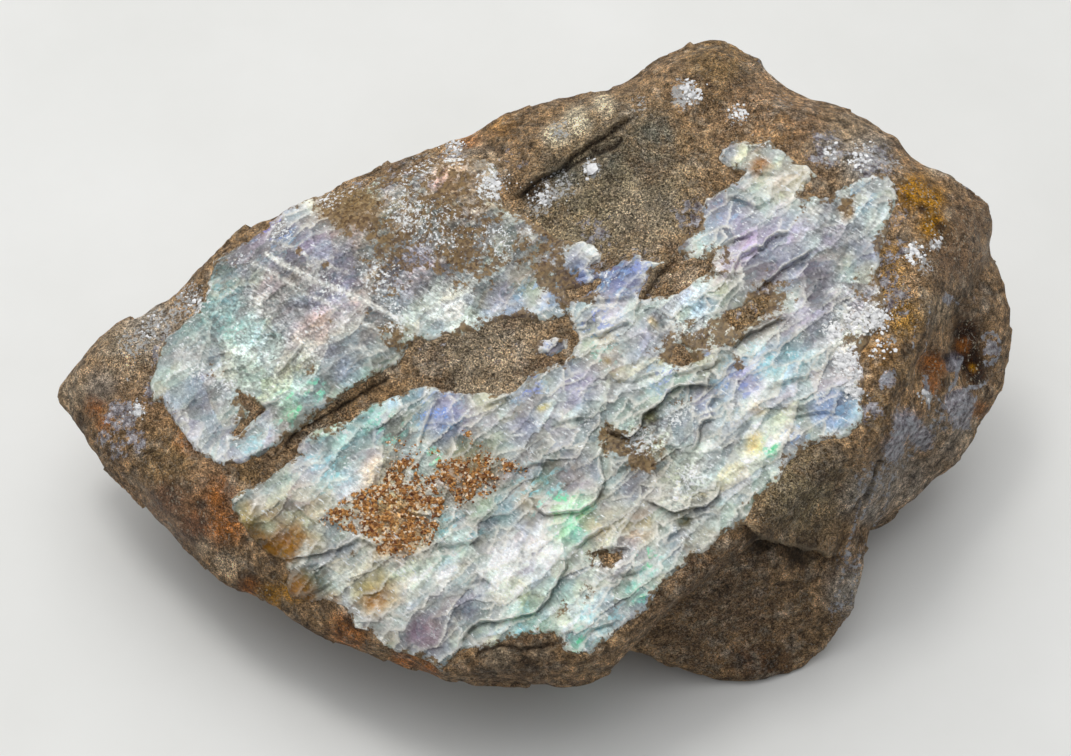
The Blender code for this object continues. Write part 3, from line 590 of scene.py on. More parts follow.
def cells(points, seed):
    """For each point, its cell of a jittered lattice: a number and the way from the cell's middle."""
    home = np.floor(points).astype(np.int64)
    nearest = np.full(len(points), np.inf)
    offset = np.zeros(points.shape)
    chance = np.zeros(len(points))
    for step in itertools.product((-1, 0, 1), repeat=points.shape[1]):
        cell = home + np.array(step)
        jitter = [0.1 + 0.8 * scatter(cell, seed + axis) for axis in range(points.shape[1])]
        away = points - cell - np.column_stack(jitter)
        gap = np.linalg.norm(away, axis=1)
        closer = gap < nearest
        nearest = np.where(closer, gap, nearest)
        offset[closer] = away[closer]
        chance[closer] = scatter(cell[closer], seed + 5)
    return chance, offset


def scoops(points, seed, lean):
    """Depth of a surface knapped by overlapping scoops one unit wide, and a number for each scoop."""
    home = np.floor(points).astype(np.int64)
    depth = np.full(len(points), np.inf)
    chance = np.zeros(len(points))
    for step in itertools.product((-1, 0, 1), repeat=2):
        cell = home + np.array(step)
        away = points - cell - 0.1 - 0.8 * np.column_stack((scatter(cell, seed), scatter(cell, seed + 1)))
        own = scatter(cell, seed + 5)
        angle = 2 * math.pi * (own * 13.7 % 1)
        tilt = (np.cos(angle) * away[:, 0] + np.sin(angle) * away[:, 1]) * (1 - lean) - lean * away[:, 1]
        bowl = (away ** 2).sum(axis=1) + 0.55 * tilt - 0.3 * own
        closer = bowl < depth
        depth = np.where(closer, bowl, depth)
        chance = np.where(closer, own, chance)
    return depth, chance


def plates(sheet, seed):
    """Overlapping plates one unit wide that rise along the first axis: height, number and lower lip."""
    home = np.floor(sheet).astype(np.int64)
    height = np.full(len(sheet), -1.0)
    chance = np.zeros(len(sheet))
    lip = np.ones(len(sheet))
    for step in itertools.product((-1, 0, 1), repeat=2):
        cell = home + np.array(step)
        away = sheet - cell - 0.15 - 0.7 * np.column_stack((scatter(cell, seed), scatter(cell, seed + 1)))
        own = scatter(cell, seed + 5)
        reach = np.zeros(len(sheet))
        for side in range(5):
            angle = 2 * math.pi * (side / 5 + own)
            reach = np.maximum(reach, np.cos(angle) * away[:, 0] + 0.8 * np.sin(angle) * away[:, 1])
        rise = away[:, 0] + 0.7 * (own * 3.7 % 1) - 0.35
        inward = 0.62 + 0.3 * (own * 5.3 % 1) - reach
        higher = (inward > 0) & (rise > height)
        height = np.where(higher, rise, height)
        chance = np.where(higher, own, chance)
        lip = np.where(higher, inward + np.clip(-away[:, 0], 0, 1), lip)
    return height, chance, lip


def zone_depth(flat, outline):
    """How far inside a closed outline each flat point lies, negative outside."""
    corners = np.array(outline, float)
    nearest = np.full(len(flat), np.inf)
    inside = np.zeros(len(flat), bool)
    for start, end in zip(corners, np.roll(corners, -1, axis=0)):
        run = end - start
        offset = flat - start
        share = np.clip(offset @ run / (run @ run), 0, 1)
        nearest = np.minimum(nearest, np.linalg.norm(offset - share[:, None] * run, axis=1))
        crosses = (start[1] > flat[:, 1]) != (end[1] > flat[:, 1])
        edge = start[0] + offset[:, 1] * run[0] / (run[1] or 1)
        inside ^= crosses & (flat[:, 0] < edge)
    return np.where(inside, nearest, -nearest)


def line_distance(flat, line):
    """Signed distance from flat points to a line, right side positive, and the way along it."""
    nearest = np.full(len(flat), np.inf)
    signed = np.zeros(len(flat))
    along = np.zeros(len(flat))
    walked = 0.0
    for start, end in zip(line[:-1], line[1:]):
        start = np.array(start, float)
        run = np.array(end, float) - start
        length = np.linalg.norm(run)
        run /= length
        offset = flat - start
        ahead = np.clip(offset @ run, 0, length)
        gap = np.linalg.norm(offset - ahead[:, None] * run, axis=1)
        side = np.sign(run[0] * offset[:, 1] - run[1] * offset[:, 0])
        closer = gap < nearest
        nearest[closer] = gap[closer]
        signed[closer] = (side * gap)[closer]
        along[closer] = walked + ahead[closer]
        walked += length
    return signed, along, walked


def line_share(flat, line, core, rim, taper=0):
    """How fully a soft line covers each point: wholly within core (mm) of its middle and not at all past rim.

    The line fades out over the last taper pixels before each end.
    """
    signed, along, length = line_distance(flat, line)
    share = 1 - smoothstep(core, rim, np.abs(signed) * PIXEL)
    if taper:
        share = smoothstep(0, taper, along) * smoothstep(0, taper, length - along) * share
    return share


def ledge_lift(flat, drop, line, blur):
    """Lift (millimetres) on the high side of a ledge, less what the solid's blurred ledge gives."""
    signed, along, length = line_distance(flat, line)
    signed = signed * PIXEL
    ends = smoothstep(0, LEDGE_TAPER, along * PIXEL) * smoothstep(0, LEDGE_TAPER, (length - along) * PIXEL)
    sharp = 0.5 - smoothstep(-LEDGE_WIDTH, LEDGE_WIDTH, signed)
    soft = (0.5 - smoothstep(-blur, blur, signed)) if blur else 0
    return drop * (sharp - soft) * np.exp(-np.abs(signed) / LEDGE_FADE) * ends


def ledges_lift(flat, points):
    """Both sets of ledges, with their lines made ragged."""
    ragged = flat + waver(points, 4.0, (61, 62)) * 3.2
    ragged += waver(points, 1.3, (63, 64)) * 1.3
    lift = np.zeros(len(flat))
    for drop, line in SOLID_LEDGES:
        lift += ledge_lift(ragged, drop, line, SOLID_LEDGE_WIDTH)
    for drop, line in FINE_LEDGES:
        lift += ledge_lift(ragged, drop, line, 0)
    return lift


def opal_depth(flat, points, facing):
    """How far inside the ragged border of the opal each point lies, in millimetres, negative outside."""
    depth = np.full(len(flat), -1e3)
    for outline in OPAL_ZONES:
        depth = np.maximum(depth, zone_depth(flat, outline))
    for outline in MATRIX_ISLANDS:
        depth = np.minimum(depth, -zone_depth(flat, outline))
    ragged = sum(height * cloud(points, size, seed, 2) for height, size, seed in BORDER_WAVES)
    depth = np.clip(depth * PIXEL, -DEEPEST, DEEPEST) + ragged
    return np.where(facing > LEAST_FACING, depth, -DEEPEST)


def dab_share(flat, x, y, radius, strength):
    """How strongly one soft-edged round dab covers each point."""
    away = np.hypot(flat[:, 0] - x, flat[:, 1] - y) / radius
    return strength * (1 - smoothstep(DAB_CORE, DAB_RIM, away))


def dab_strength(flat, dabs):
    """How strongly soft round dabs cover each point together, from 0 to 1."""
    bare = np.ones(len(flat))
    for dab in dabs:
        bare *= 1 - dab_share(flat, *dab)
    return 1 - bare


def dab_colour(flat, dabs, tints, first):
    """Colours laid over a first tint in soft dabs, one after another."""
    colour = np.tile(rgb(tints[first]), (len(flat), 1))
    for tint, *dab in dabs:
        share = dab_share(flat, *dab)[:, None]
        colour = colour * (1 - share) + rgb(tints[tint]) * share
    return colour


def read_points(mesh):
    """A mesh's points and their normals, in millimetres."""
    points = np.empty(len(mesh.vertices) * 3)
    mesh.vertices.foreach_get("co", points)
    normals = np.empty(len(mesh.vertices) * 3)
    mesh.vertex_normals.foreach_get("vector", normals)
    return points.reshape(-1, 3) / MM, normals.reshape(-1, 3)


def write_points(mesh, points):
    """Move a mesh's points, given in millimetres, and never below the floor."""
    points[:, 2] = np.maximum(points[:, 2], 0)
    mesh.vertices.foreach_set("co", (points * MM).ravel())
    mesh.update()


def blur(mesh, values, passes):
    """Average each point's values with its neighbours' a number of times."""
    edges = np.empty(len(mesh.edges) * 2, np.int32)
    mesh.edges.foreach_get("vertices", edges)
    one, other = edges.reshape(-1, 2).T
    count = len(mesh.vertices)
    links = np.maximum(np.bincount(one, minlength=count) + np.bincount(other, minlength=count), 1)
    for _ in range(passes):
        near = np.column_stack([
            np.bincount(one, column[other], count) + np.bincount(other, column[one], count)
            for column in values.T
        ])
        values = 0.5 * values + 0.5 * near / links[:, None]
    return values


def bulge(mesh, passes):
    """How far each point stands out of (positive) or sits in (negative) the blurred surface, in mm."""
    points, normals = read_points(mesh)
    return np.einsum("ij,ij->i", points - blur(mesh, points, passes), normals)


def paint(mesh, name, values):
    """Store a number or a colour at each point for the material to read."""
    if values.ndim == 1:
        layer = mesh.attributes.new(name, "FLOAT", "POINT")
        layer.data.foreach_set("value", values.astype(np.float32))
    else:
        layer = mesh.attributes.new(name, "FLOAT_COLOR", "POINT")
        full = np.column_stack((values, np.ones(len(values))))
        layer.data.foreach_set("color", full.astype(np.float32).ravel())


def link(name, data):
    """Put data in the scene as an object."""
    made = bpy.data.objects.new(name, data)
    bpy.context.scene.collection.objects.link(made)
    return made


def modified(mesh, *modifiers):
    """The mesh that modifiers make of another: each is a kind and its settings."""
    body = link("body", mesh)
    for kind, settings in modifiers:
        modifier = body.modifiers.new(kind, kind)
        for field, value in settings.items():
            setattr(modifier, field, value)
    evaluated = body.evaluated_get(bpy.context.evaluated_depsgraph_get())
    result = bpy.data.meshes.new_from_object(evaluated)
    bpy.data.objects.remove(body)
    return result


def stone_skin(size, passes):
    """An even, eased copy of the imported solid's surface."""
    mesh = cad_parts[NODE].data.copy()
    merged = bmesh.new()
    merged.from_mesh(mesh)
    bmesh.ops.remove_doubles(merged, verts=merged.verts, dist=SAME_PLACE)
    merged.to_mesh(mesh)
    merged.free()
    return modified(mesh, ("REMESH", {"mode": "VOXEL", "voxel_size": size}),
                    ("SMOOTH", {"factor": 0.5, "iterations": passes}))


def cut_finer(shape, edges, cuts, mesh):
    """Subdivide some edges of a bmesh, leave it no face with over four sides, and write it to its mesh."""
    bmesh.ops.subdivide_edges(shape, edges=edges, cuts=cuts, use_grid_fill=True)
    bmesh.ops.triangulate(shape, faces=[face for face in shape.faces if len(face.verts) > 4])
    shape.to_mesh(mesh)
    shape.free()


def shape_of(mesh):
    """A mesh's points and normals (mm), its pixels, how far it faces the camera and its opal depth."""
    points, normals = read_points(mesh)
    normals = blur(mesh, normals, 6)
    normals /= np.linalg.norm(normals, axis=1)[:, None]
    flat = pixels(points)
    facing = smoothstep(-0.05, 0.15, normals @ -LOOK)
    return points, normals, flat, facing, opal_depth(flat, points, facing)


def triangle_count(mesh):
    """How many triangles a mesh's faces come to."""
    return sum(len(face.vertices) - 2 for face in mesh.polygons)


def thinned(mesh, most):
    """The mesh with its flattest places merged until it has few enough triangles."""
    return modified(mesh, ("DECIMATE", {"ratio": min(1.0, most / triangle_count(mesh))}))


def finish_piece(name, mesh, material, *replaced):
    """Make a finished mesh an object that rides with the stone."""
    piece = link(name, mesh)
    mesh.materials.clear()
    mesh.materials.append(material)
    mesh.polygons.foreach_set("material_index", np.zeros(len(mesh.polygons), np.int32))
    mesh.shade_smooth()
    mesh.set_sharp_from_angle(angle=SHARP_ANGLE)
    if replaced:
        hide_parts(*replaced)
    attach(piece, "root")
    print(name, "triangles", triangle_count(mesh))
    return piece


def add(tree, kind, inputs, **settings):
    """Add one shader node: settings are its own fields, and inputs are values, sockets or nodes to link."""
    node = tree.nodes.new("ShaderNode" + kind)
    for field, value in settings.items():
        setattr(node, field, value)
    for socket, value in inputs.items():
        value = value.outputs[0] if isinstance(value, bpy.types.Node) else value
        if isinstance(value, bpy.types.NodeSocket):
            tree.links.new(value, node.inputs[socket])
        else:
            node.inputs[socket].default_value = value
    return node


def new_material(name):
    """A material with its Principled shader, its node tree and Object coordinates."""
    material = bpy.data.materials.new(name)
    material.use_nodes = True
    tree = material.node_tree
    shader = next(node for node in tree.nodes if node.type == "BSDF_PRINCIPLED")
    place = add(tree, "TexCoord", {}).outputs["Object"]
    return material, tree, shader, place


# Input and output places of Blender's Mix node when it mixes colours.
MIX_A, MIX_B, MIX_OUT = 6, 7, 2


def lying_along(rise):
    """Turn of a pattern in the plane that faces the camera: it runs right and rises this much a unit."""
    run = (np.array((1, 0, 0)) + rise * PICTURE_UP) / math.hypot(1, rise)
    return Matrix((run, np.cross(-LOOK, run), -LOOK)).transposed().to_euler()


# Fibres in the opal lie towards the picture's lower right, and its shards towards the upper right.
FIBRE_TURN = lying_along(-0.8)
STRIKE_TURN = lying_along(0.8)


def facets(tree, place, voronoi):
    """Height of flat faces, one for each cell of a Voronoi pattern and each tilted its own way."""
    apart = add(tree, "VectorMath", {0: place, 1: voronoi.outputs["Position"]}, operation="SUBTRACT")
    lean = add(tree, "VectorMath", {0: voronoi.outputs["Color"], 1: (0.5, 0.5, 0.5)}, operation="SUBTRACT")
    return add(tree, "VectorMath", {0: apart, 1: lean}, operation="DOT_PRODUCT").outputs["Value"]


def rock_material():
    """Weathered ironstone, broken and rubbed: a dry, sandy brown with pale film and flecks, painted glints on
    its glassy places, and painted shade in its cracks and hollows.
    """
    material, tree, shader, place = new_material("weathered_ironstone")
    tone = add(tree, "Attribute", {}, attribute_name="tone").outputs["Color"]
    film, fleck, vein, painted_shade, edge, gloss, sandy = (
        add(tree, "Attribute", {}, attribute_name=name).outputs["Fac"]
        for name in ("film", "fleck", "vein", "painted_shade", "edge", "gloss", "sandy"))
    # Film smears a little along the beds, and streaks run down the flank, 0.7 mm wide and 5 mm long.
    smeared, streaked = (
        add(tree, "Mapping", {"Vector": place, "Rotation": (0.35, -0.3, 0.25), "Scale": (1, 1, stretch)},
            vector_type="TEXTURE")
        for stretch in (2, 7))
    # Patches 5 mm across, clods 1.4 mm, specks 0.2 mm and dust 0.5 mm, wandering cracks, film, streaks, the
    # film's haze of 1 mm and chalky crumbs of 0.7 mm.
    patch, clod, speck, dust, wander, smear, streak, haze, crumb = (
        add(tree, "TexNoise", {
            "Vector": source, "Scale": scale, "Detail": detail, "Roughness": rough, "Distortion": bend})
        for source, scale, detail, rough, bend in (
            (place, 190, 4, 0.6, 0), (place, 700, 3, 0.6, 0.5), (place, 4600, 2, 0.7, 0),
            (place, 2100, 4, 0.75, 0), (place, 260, 5, 0.6, 0.4), (smeared, 800, 5, 0.75, 0),
            (streaked, 1500, 5, 0.7, 0), (place, 900, 4, 0.7, 0), (place, 1500, 4, 0.7, 0)))
    # Sand grains 0.3 mm, glassy cells 1.4 mm and broken faces 2.4 mm across.
    sand, glassy, broken = (
        add(tree, "TexVoronoi", {"Vector": place, "Scale": scale}) for scale in (3300, 700, 420))
    grit, cell = (add(tree, "SeparateColor", {"Color": source.outputs["Color"]}) for source in (sand, glassy))
    share = {
        name: add(tree, "MapRange", {
            "Value": value, "From Min": low, "From Max": high, "To Min": least, "To Max": most})
        for name, value, low, high, least, most in (
            # How light each patch, clod, speck, grain and glassy cell is.
            ("shade", patch, 0.32, 0.68, 0.95, 2.12), ("lumpy", clod, 0.33, 0.67, 0.62, 1.4),
            ("gritty", speck, 0.36, 0.64, 0.35, 1.75), ("single", grit.outputs[2], 0, 1, 0.55, 1.6),
            ("glow", cell.outputs[0], 0, 1, 0.5, 2.0),
            # Sandstone is even but gritty, and the smooth rind is blotched and less dusty.
            ("blotch", sandy, 0.25, 1, 2.2, 0.7), ("sharp", sandy, 0.25, 1, 0.8, 1.5),
            ("dusty", sandy, 0.25, 1, 0.5, 1), ("matte", gloss, 0, 0.7, 1, 0.12),
            # Painted glints on the glassy places, straw-coloured grains, pale dust and dark pits.
            ("painted_glint", grit.outputs[1], 0.93, 0.96, 0, 0.8), ("straw", grit.outputs[1], 0.86, 0.92, 0, 0.4),
            ("pale", dust, 0.58, 0.65, 0, 0.75), ("pit", dust, 0.32, 0.4, 0.75, 0),
            # Film, its streaks and haze, and chalk.
            ("smear", smear, 0.3, 0.7, 0, 1), ("streak", streak, 0.35, 0.65, 0, 1),
            ("haze", haze, 0.38, 0.62, 0, 1), ("crumb", crumb, 0.3, 0.7, 0, 1),
            # Pale rubbed edges with a painted highlight on them, and painted shade in deep hollows.
            ("wear_and_highlight", edge, 0.03, 0.15, 0, 0.35), ("deep", edge, -0.16, -0.02, 0.65, 0))}
    lumpy = add(tree, "Math", {0: share["lumpy"], 1: share["blotch"]}, operation="POWER")
    gritty = add(tree, "Math", {0: share["gritty"], 1: share["single"]}, operation="MULTIPLY")
    gritty = add(tree, "Math", {0: gritty, 1: share["sharp"]}, operation="POWER")
    level, matte, glow, painted_glint, straw = (
        add(tree, "Math", {0: share[name], 1: factor}, operation="MULTIPLY")
        for name, factor in (
            ("shade", lumpy), ("matte", share["dusty"]), ("glow", gritty), ("painted_glint", gloss),
            ("straw", sandy)))
    level, pale, pit = (
        add(tree, "Math", {0: one, 1: other}, operation="MULTIPLY")
        for one, other in ((level, gritty), (share["pale"], matte), (share["pit"], matte)))
    # Film, streaks and chalk each cover the places where their noise and their painted strength add up.
    cover, lined, chalk = (
        add(tree, "MapRange", {
            "Value": add(tree, "Math", {0: amount, 1: share[name]}, operation="ADD"),
            "From Min": low, "From Max": high, "To Max": most})
        for name, amount, low, high, most in (
            ("smear", film, 1.0, 1.14, 0.88), ("streak", vein, 1.05, 1.35, 0.9),
            ("crumb", fleck, 1.1, 1.16, 0.9)))

    # Stains lie on the tone: brown, dark and pale patches 2 to 9 mm across.
    rock = tone
    for scale, low, high, most, stain in (
            (110, 0.52, 0.64, 0.4, "#826440"), (150, 0.54, 0.66, 0.5, "#4E3C30"),
            (330, 0.52, 0.66, 0.4, "#715A3E"), (240, 0.55, 0.7, 0.5, "#9A9183"),
            (430, 0.55, 0.65, 0.35, "#968A76"), (460, 0.55, 0.65, 0.35, "#4A3E34")):
        drift = add(tree, "VectorMath", {0: place, 1: (scale, 0, most)}, operation="ADD")
        spread = add(tree, "TexNoise", {"Vector": drift, "Scale": scale, "Detail": 4, "Roughness": 0.65})
        spread = add(tree, "MapRange", {"Value": spread, "From Min": low, "From Max": high, "To Max": most})
        rock = add(tree, "Mix", {0: spread, MIX_A: rock, MIX_B: srgb(stain)},
                   data_type="RGBA").outputs[MIX_OUT]
    # Film of potch opal is lilac-grey and pale blue, and the glaze of its streaks is cooler.
    potch, glaze = (
        add(tree, "Mix", {0: share["haze"], MIX_A: srgb(dark), MIX_B: srgb(light)},
            data_type="RGBA").outputs[MIX_OUT]
        for dark, light in (("#6A6068", "#DEDDE4"), ("#8E8E96", "#D2D6DE")))
    # Glassy places keep their own deep tone.
    rock, glass, potch = (
        add(tree, "Mix", {0: factor, MIX_A: colour, MIX_B: light}, data_type="RGBA",
            blend_type="MULTIPLY").outputs[MIX_OUT]
        for factor, colour, light in ((1.0, rock, level), (1.0, tone, glow), (0.6, potch, lumpy)))
    layers = [(gloss, glass), (painted_glint, srgb("#D8CDB4")), (straw, srgb("#B3A486")), (pale, srgb("#B9AF9E")),
              (pit, srgb("#2A1C12"))]
    # Hairline cracks and thin pale scratches.
    for middle, width, most, mark in ((0.5, 0.006, 0.7, "#2A1C12"), (0.56, 0.004, 0.6, "#B9AE9C")):
        line = add(tree, "Math", {0: wander, 1: middle, 2: width}, operation="COMPARE")
        layers.append((add(tree, "Math", {0: line, 1: most}, operation="MULTIPLY"), srgb(mark)))
    # Then film, glaze, painted shade in cracks and hollows, pale rubbed edges with a painted highlight,
    # painted shade where the surface sits in, and chalk.
    layers += [(cover, potch), (lined, glaze), (painted_shade, srgb("#241B14")), (share["wear_and_highlight"], srgb("#A59478")),
               (share["deep"], srgb("#2A2017")), (chalk, srgb("#D3D3D2"))]
    for amount, colour in layers:
        rock = add(tree, "Mix", {0: amount, MIX_A: rock, MIX_B: colour}, data_type="RGBA").outputs[MIX_OUT]
    tree.links.new(rock, shader.inputs["Base Color"])

    shiny = add(tree, "Math", {0: gloss, 1: cover}, operation="MAXIMUM")
    rough = add(tree, "MapRange", {"Value": shiny, "To Min": 0.62, "To Max": 0.22})
    tree.links.new(rough.outputs[0], shader.inputs["Roughness"])
    shader.inputs["Specular IOR Level"].default_value = 0.2
    height = facets(tree, place, broken)
    rise = add(tree, "Math", {0: grit, 1: sandy}, operation="MULTIPLY")
    for lumps, tall in ((clod, 0.0016), (rise, 0.0002), (speck, 0.0006), (dust, 0.001)):
        height = add(tree, "Math", {0: lumps, 1: tall, 2: height}, operation="MULTIPLY_ADD")
    bump = add(tree, "Bump", {"Height": height, "Strength": 0.9, "Distance": 1.0})
    tree.links.new(bump.outputs[0], shader.inputs["Normal"])
    return material


def opal_material():
    """Common and precious opal, freshly chipped: a milky, waxy body with colour play, painted highlights on
    its thin edges, lips and glints, and painted shade at the feet of its ledges.
    """
    material, tree, shader, place = new_material("chipped_opal")
    tint, fire = (
        add(tree, "Attribute", {}, attribute_name=name).outputs["Color"] for name in ("tint", "fire"))
    flash, edge, sand, fleck, crushed, lip = (
        add(tree, "Attribute", {}, attribute_name=name).outputs["Fac"]
        for name in ("flash", "edge", "sand", "fleck", "crushed", "lip"))
    # Shards 1.8 mm long and 0.95 mm wide, splinters 0.4 mm across, and fibres 2.7 mm long and 0.45 mm wide.
    # Real splinters and fibres go on to far finer ones, which wouldn't show.
    struck, along = (
        add(tree, "Mapping", {"Vector": place, "Rotation": turn, "Scale": (stretch, 1, 1)},
            vector_type="TEXTURE").outputs[0]
        for turn, stretch in ((STRIKE_TURN, 1.9), (FIBRE_TURN, 6)))
    shard, splinter = (
        add(tree, "TexVoronoi", {"Vector": source, "Scale": scale})
        for source, scale in ((struck, 1050), (place, 2400)))
    pick, pick_fine = (
        add(tree, "SeparateColor", {"Color": source.outputs["Color"]}).outputs
        for source in (shard, splinter))
    # Milky clouds 3 mm across, the fibres, spots of sand 1.6 mm across and chalky crumbs of 0.6 mm.
    milk, fibre, spots, crumb = (
        add(tree, "TexNoise", {
            "Vector": source, "Scale": scale, "Detail": detail, "Roughness": rough, "Distortion": bend})
        for source, scale, detail, rough, bend in (
            (place, 330, 5, 0.66, 0), (along, 2200, 3, 0.65, 0.3), (place, 640, 6, 0.75, 0),
            (place, 1700, 4, 0.7, 0)))
    bare = add(tree, "RGBToBW", {"Color": tint})
    share = {
        name: add(tree, "MapRange", {
            "Value": value, "From Min": low, "From Max": high, "To Min": least, "To Max": most})
        for name, value, low, high, least, most in (
            # How light each shard, splinter and fibre is. Crushed places are more speckled than clean flakes.
            ("one", pick[0], 0, 1, 0.9, 1.1), ("two", pick_fine[0], 0, 1, 0.82, 1.2),
            ("three", fibre, 0.34, 0.66, 0.8, 1.22), ("power", crushed, 0, 1, 0.8, 2.8),
            # How milky the body is, its smoky clear spots and its clouds.
            ("milky", bare, 0.15, 0.36, 0.15, 1), ("smoky", milk, 0.33, 0.47, 0.3, 0),
            ("cloudy", milk, 0.55, 0.68, 0, 0.25),
            # Fire: about a third of the shards flash where the seam has fire.
            ("lit", pick[2], 0.6, 0.66, 0, 1), ("lit_fine", pick_fine[2], 0.45, 0.55, 0.25, 1),
            # Painted shade at the feet of the ledges, painted highlights on thin raised edges, and painted
            # glints on half of the splinters.
            ("dark", edge, -0.2, -0.04, 0.45, 0), ("bright", edge, 0.03, 0.1, 0, 0.6),
            ("glint", fibre, 0.585, 0.63, 0, 0.9), ("part", pick_fine[1], 0.5, 0.55, 0, 1),
            ("spots", spots, 0.3, 0.7, 0, 1), ("crumb", crumb, 0.3, 0.7, 0, 1),
            # Some shards are waxier than others.
            ("wax", pick[1], 0, 1, 0.08, 0.3))}
    milky = share["milky"]
    level = share["one"]
    for factor in (share["two"], share["three"]):
        level = add(tree, "Math", {0: level, 1: factor}, operation="MULTIPLY")
    level = add(tree, "Math", {0: level, 1: share["power"]}, operation="POWER")
    lit = add(tree, "Math", {0: share["lit"], 1: share["lit_fine"]}, operation="MULTIPLY")
    lit = add(tree, "Math", {0: lit, 1: flash}, operation="MULTIPLY", use_clamp=True)
    # Painted highlights: cream along the plates' lower lips, and glints where fibres and splinters meet.
    lip, glint = (
        add(tree, "Math", {0: one, 1: other}, operation="MULTIPLY")
        for one, other in ((lip, 0.7), (share["glint"], share["part"])))
    cloudy, bright, lip, glint = (
        add(tree, "Math", {0: amount, 1: milky}, operation="MULTIPLY")
        for amount in (share["cloudy"], share["bright"], lip, glint))
    # Smeared sand and chalk each cover the places where their noise and their painted strength add up.
    sanded, chalk = (
        add(tree, "MapRange", {
            "Value": add(tree, "Math", {0: share[name], 1: amount}, operation="ADD"),
            "From Min": low, "From Max": high, "To Max": 0.9})
        for name, amount, low, high in (("spots", sand, 1.0, 1.1), ("crumb", fleck, 1.08, 1.16)))
    earth = add(tree, "Mix", {0: pick_fine[1], MIX_A: srgb("#4A3115"), MIX_B: srgb("#94794F")},
                data_type="RGBA").outputs[MIX_OUT]
    body = add(tree, "Mix", {0: 1.0, MIX_A: tint, MIX_B: level}, data_type="RGBA",
               blend_type="MULTIPLY").outputs[MIX_OUT]
    for amount, colour in (
            (lit, fire), (share["smoky"], srgb("#6E6A68")), (cloudy, srgb("#D9D9D0")),
            (share["dark"], srgb("#4E4640")), (bright, srgb("#E6E3D8")), (lip, srgb("#E6E3D8")),
            (glint, srgb("#EDF0F0")), (sanded, earth), (chalk, srgb("#E4E6E6"))):
        body = add(tree, "Mix", {0: amount, MIX_A: body, MIX_B: colour}, data_type="RGBA").outputs[MIX_OUT]
    tree.links.new(body, shader.inputs["Base Color"])

    wax = add(tree, "Math", {0: sanded, 1: 0.5, 2: share["wax"]}, operation="MULTIPLY_ADD", use_clamp=True)
    tree.links.new(wax.outputs[0], shader.inputs["Roughness"])
    height = facets(tree, struck, shard)
    for lumps, tall in ((facets(tree, place, splinter), 1.5), (fibre, 0.0002)):
        height = add(tree, "Math", {0: lumps, 1: tall, 2: height}, operation="MULTIPLY_ADD")
    bump = add(tree, "Bump", {"Height": height, "Strength": 0.55, "Distance": 0.6})
    tree.links.new(bump.outputs[0], shader.inputs["Normal"])
    for name, value in (
            ("Specular IOR Level", 0.36), ("Subsurface Weight", 0.5), ("Subsurface Radius", (0.8, 0.9, 1.0)),
            ("Subsurface Scale", 0.0012), ("IOR", 1.45)):
        shader.inputs[name].default_value = value
    return material


def grain_material():
    """Iron-stained sand grains stuck to the opal: dull rust and straw crumbs, a few of them clear quartz."""
    material, tree, shader, place = new_material("iron_stained_sand")
    pick = add(tree, "TexVoronoi", {"Vector": place, "Scale": 2400}).outputs["Color"]
    other = add(tree, "SeparateColor", {"Color": pick})
    wear = add(tree, "TexNoise", {"Vector": place, "Scale": 2200, "Detail": 2})
    rusty, level, quartz = (
        add(tree, "MapRange", {
            "Value": value, "From Min": low, "From Max": high, "To Min": least, "To Max": most})
        for value, low, high, least, most in (
            (pick, 0.15, 0.85, 0, 1), (wear, 0.3, 0.7, 0.7, 1.3), (other.outputs[1], 0.82, 0.86, 0, 0.75)))
    crumb = add(tree, "Mix", {0: rusty, MIX_A: srgb("#64330F"), MIX_B: srgb("#D29A55")},
                data_type="RGBA").outputs[MIX_OUT]
    crumb = add(tree, "Mix", {0: 1.0, MIX_A: crumb, MIX_B: level}, data_type="RGBA",
                blend_type="MULTIPLY").outputs[MIX_OUT]
    crumb = add(tree, "Mix", {0: quartz, MIX_A: crumb, MIX_B: srgb("#E3D8C2")}, data_type="RGBA")
    tree.links.new(crumb.outputs[MIX_OUT], shader.inputs["Base Color"])
    bump = add(tree, "Bump", {"Height": wear, "Strength": 0.6, "Distance": 0.0002})
    tree.links.new(bump.outputs[0], shader.inputs["Normal"])
    shader.inputs["Roughness"].default_value = 0.75
    return material


def crust_material():
    """Chalky silica crust: dry white flakes, a little grey."""
    material, tree, shader, place = new_material("silica_crust")
    wear = add(tree, "TexNoise", {"Vector": place, "Scale": 900, "Detail": 4, "Roughness": 0.6})
    level = add(tree, "MapRange", {"Value": wear, "From Min": 0.35, "From Max": 0.65})
    flake = add(tree, "Mix", {0: level, MIX_A: srgb("#C4C4C6"), MIX_B: srgb("#F6F6F4")}, data_type="RGBA")
    tree.links.new(flake.outputs[MIX_OUT], shader.inputs["Base Color"])
    bump = add(tree, "Bump", {"Height": wear, "Strength": 0.5, "Distance": 0.0003})
    tree.links.new(bump.outputs[0], shader.inputs["Normal"])
    shader.inputs["Roughness"].default_value = 0.6
    return material


def floor_material():
    """Worn laminate bench top: pale warm grey, satin, with faint smudges 70 mm across."""
    material, tree, shader, place = new_material("pale_laminate")
    smudge = add(tree, "TexNoise", {"Vector": place, "Scale": 14, "Detail": 5, "Roughness": 0.6})
    level = add(tree, "MapRange", {"Value": smudge, "From Min": 0.3, "From Max": 0.7})
    top = add(tree, "Mix", {0: level, MIX_A: srgb("#D2D2CE"), MIX_B: srgb("#DADAD7")}, data_type="RGBA")
    tree.links.new(top.outputs[MIX_OUT], shader.inputs["Base Color"])
    shader.inputs["Roughness"].default_value = 0.5
    return material


# Lamps: name, width (m), share of the lamp power and place (m). Both look at the middle of the stone.
LAMPS = (("soft_lamp", 1.5, 1.0, (-0.12, 0.55, 1.15)), ("window_lamp", 0.3, 0.36, (-0.3, 0.4, 1.2)))
LAMP_TARGET = (0, 0, 0.03)
LAMP_COLOUR = (1.0, 0.985, 0.96)
FLOOR_HALF_WIDTH = 1.5


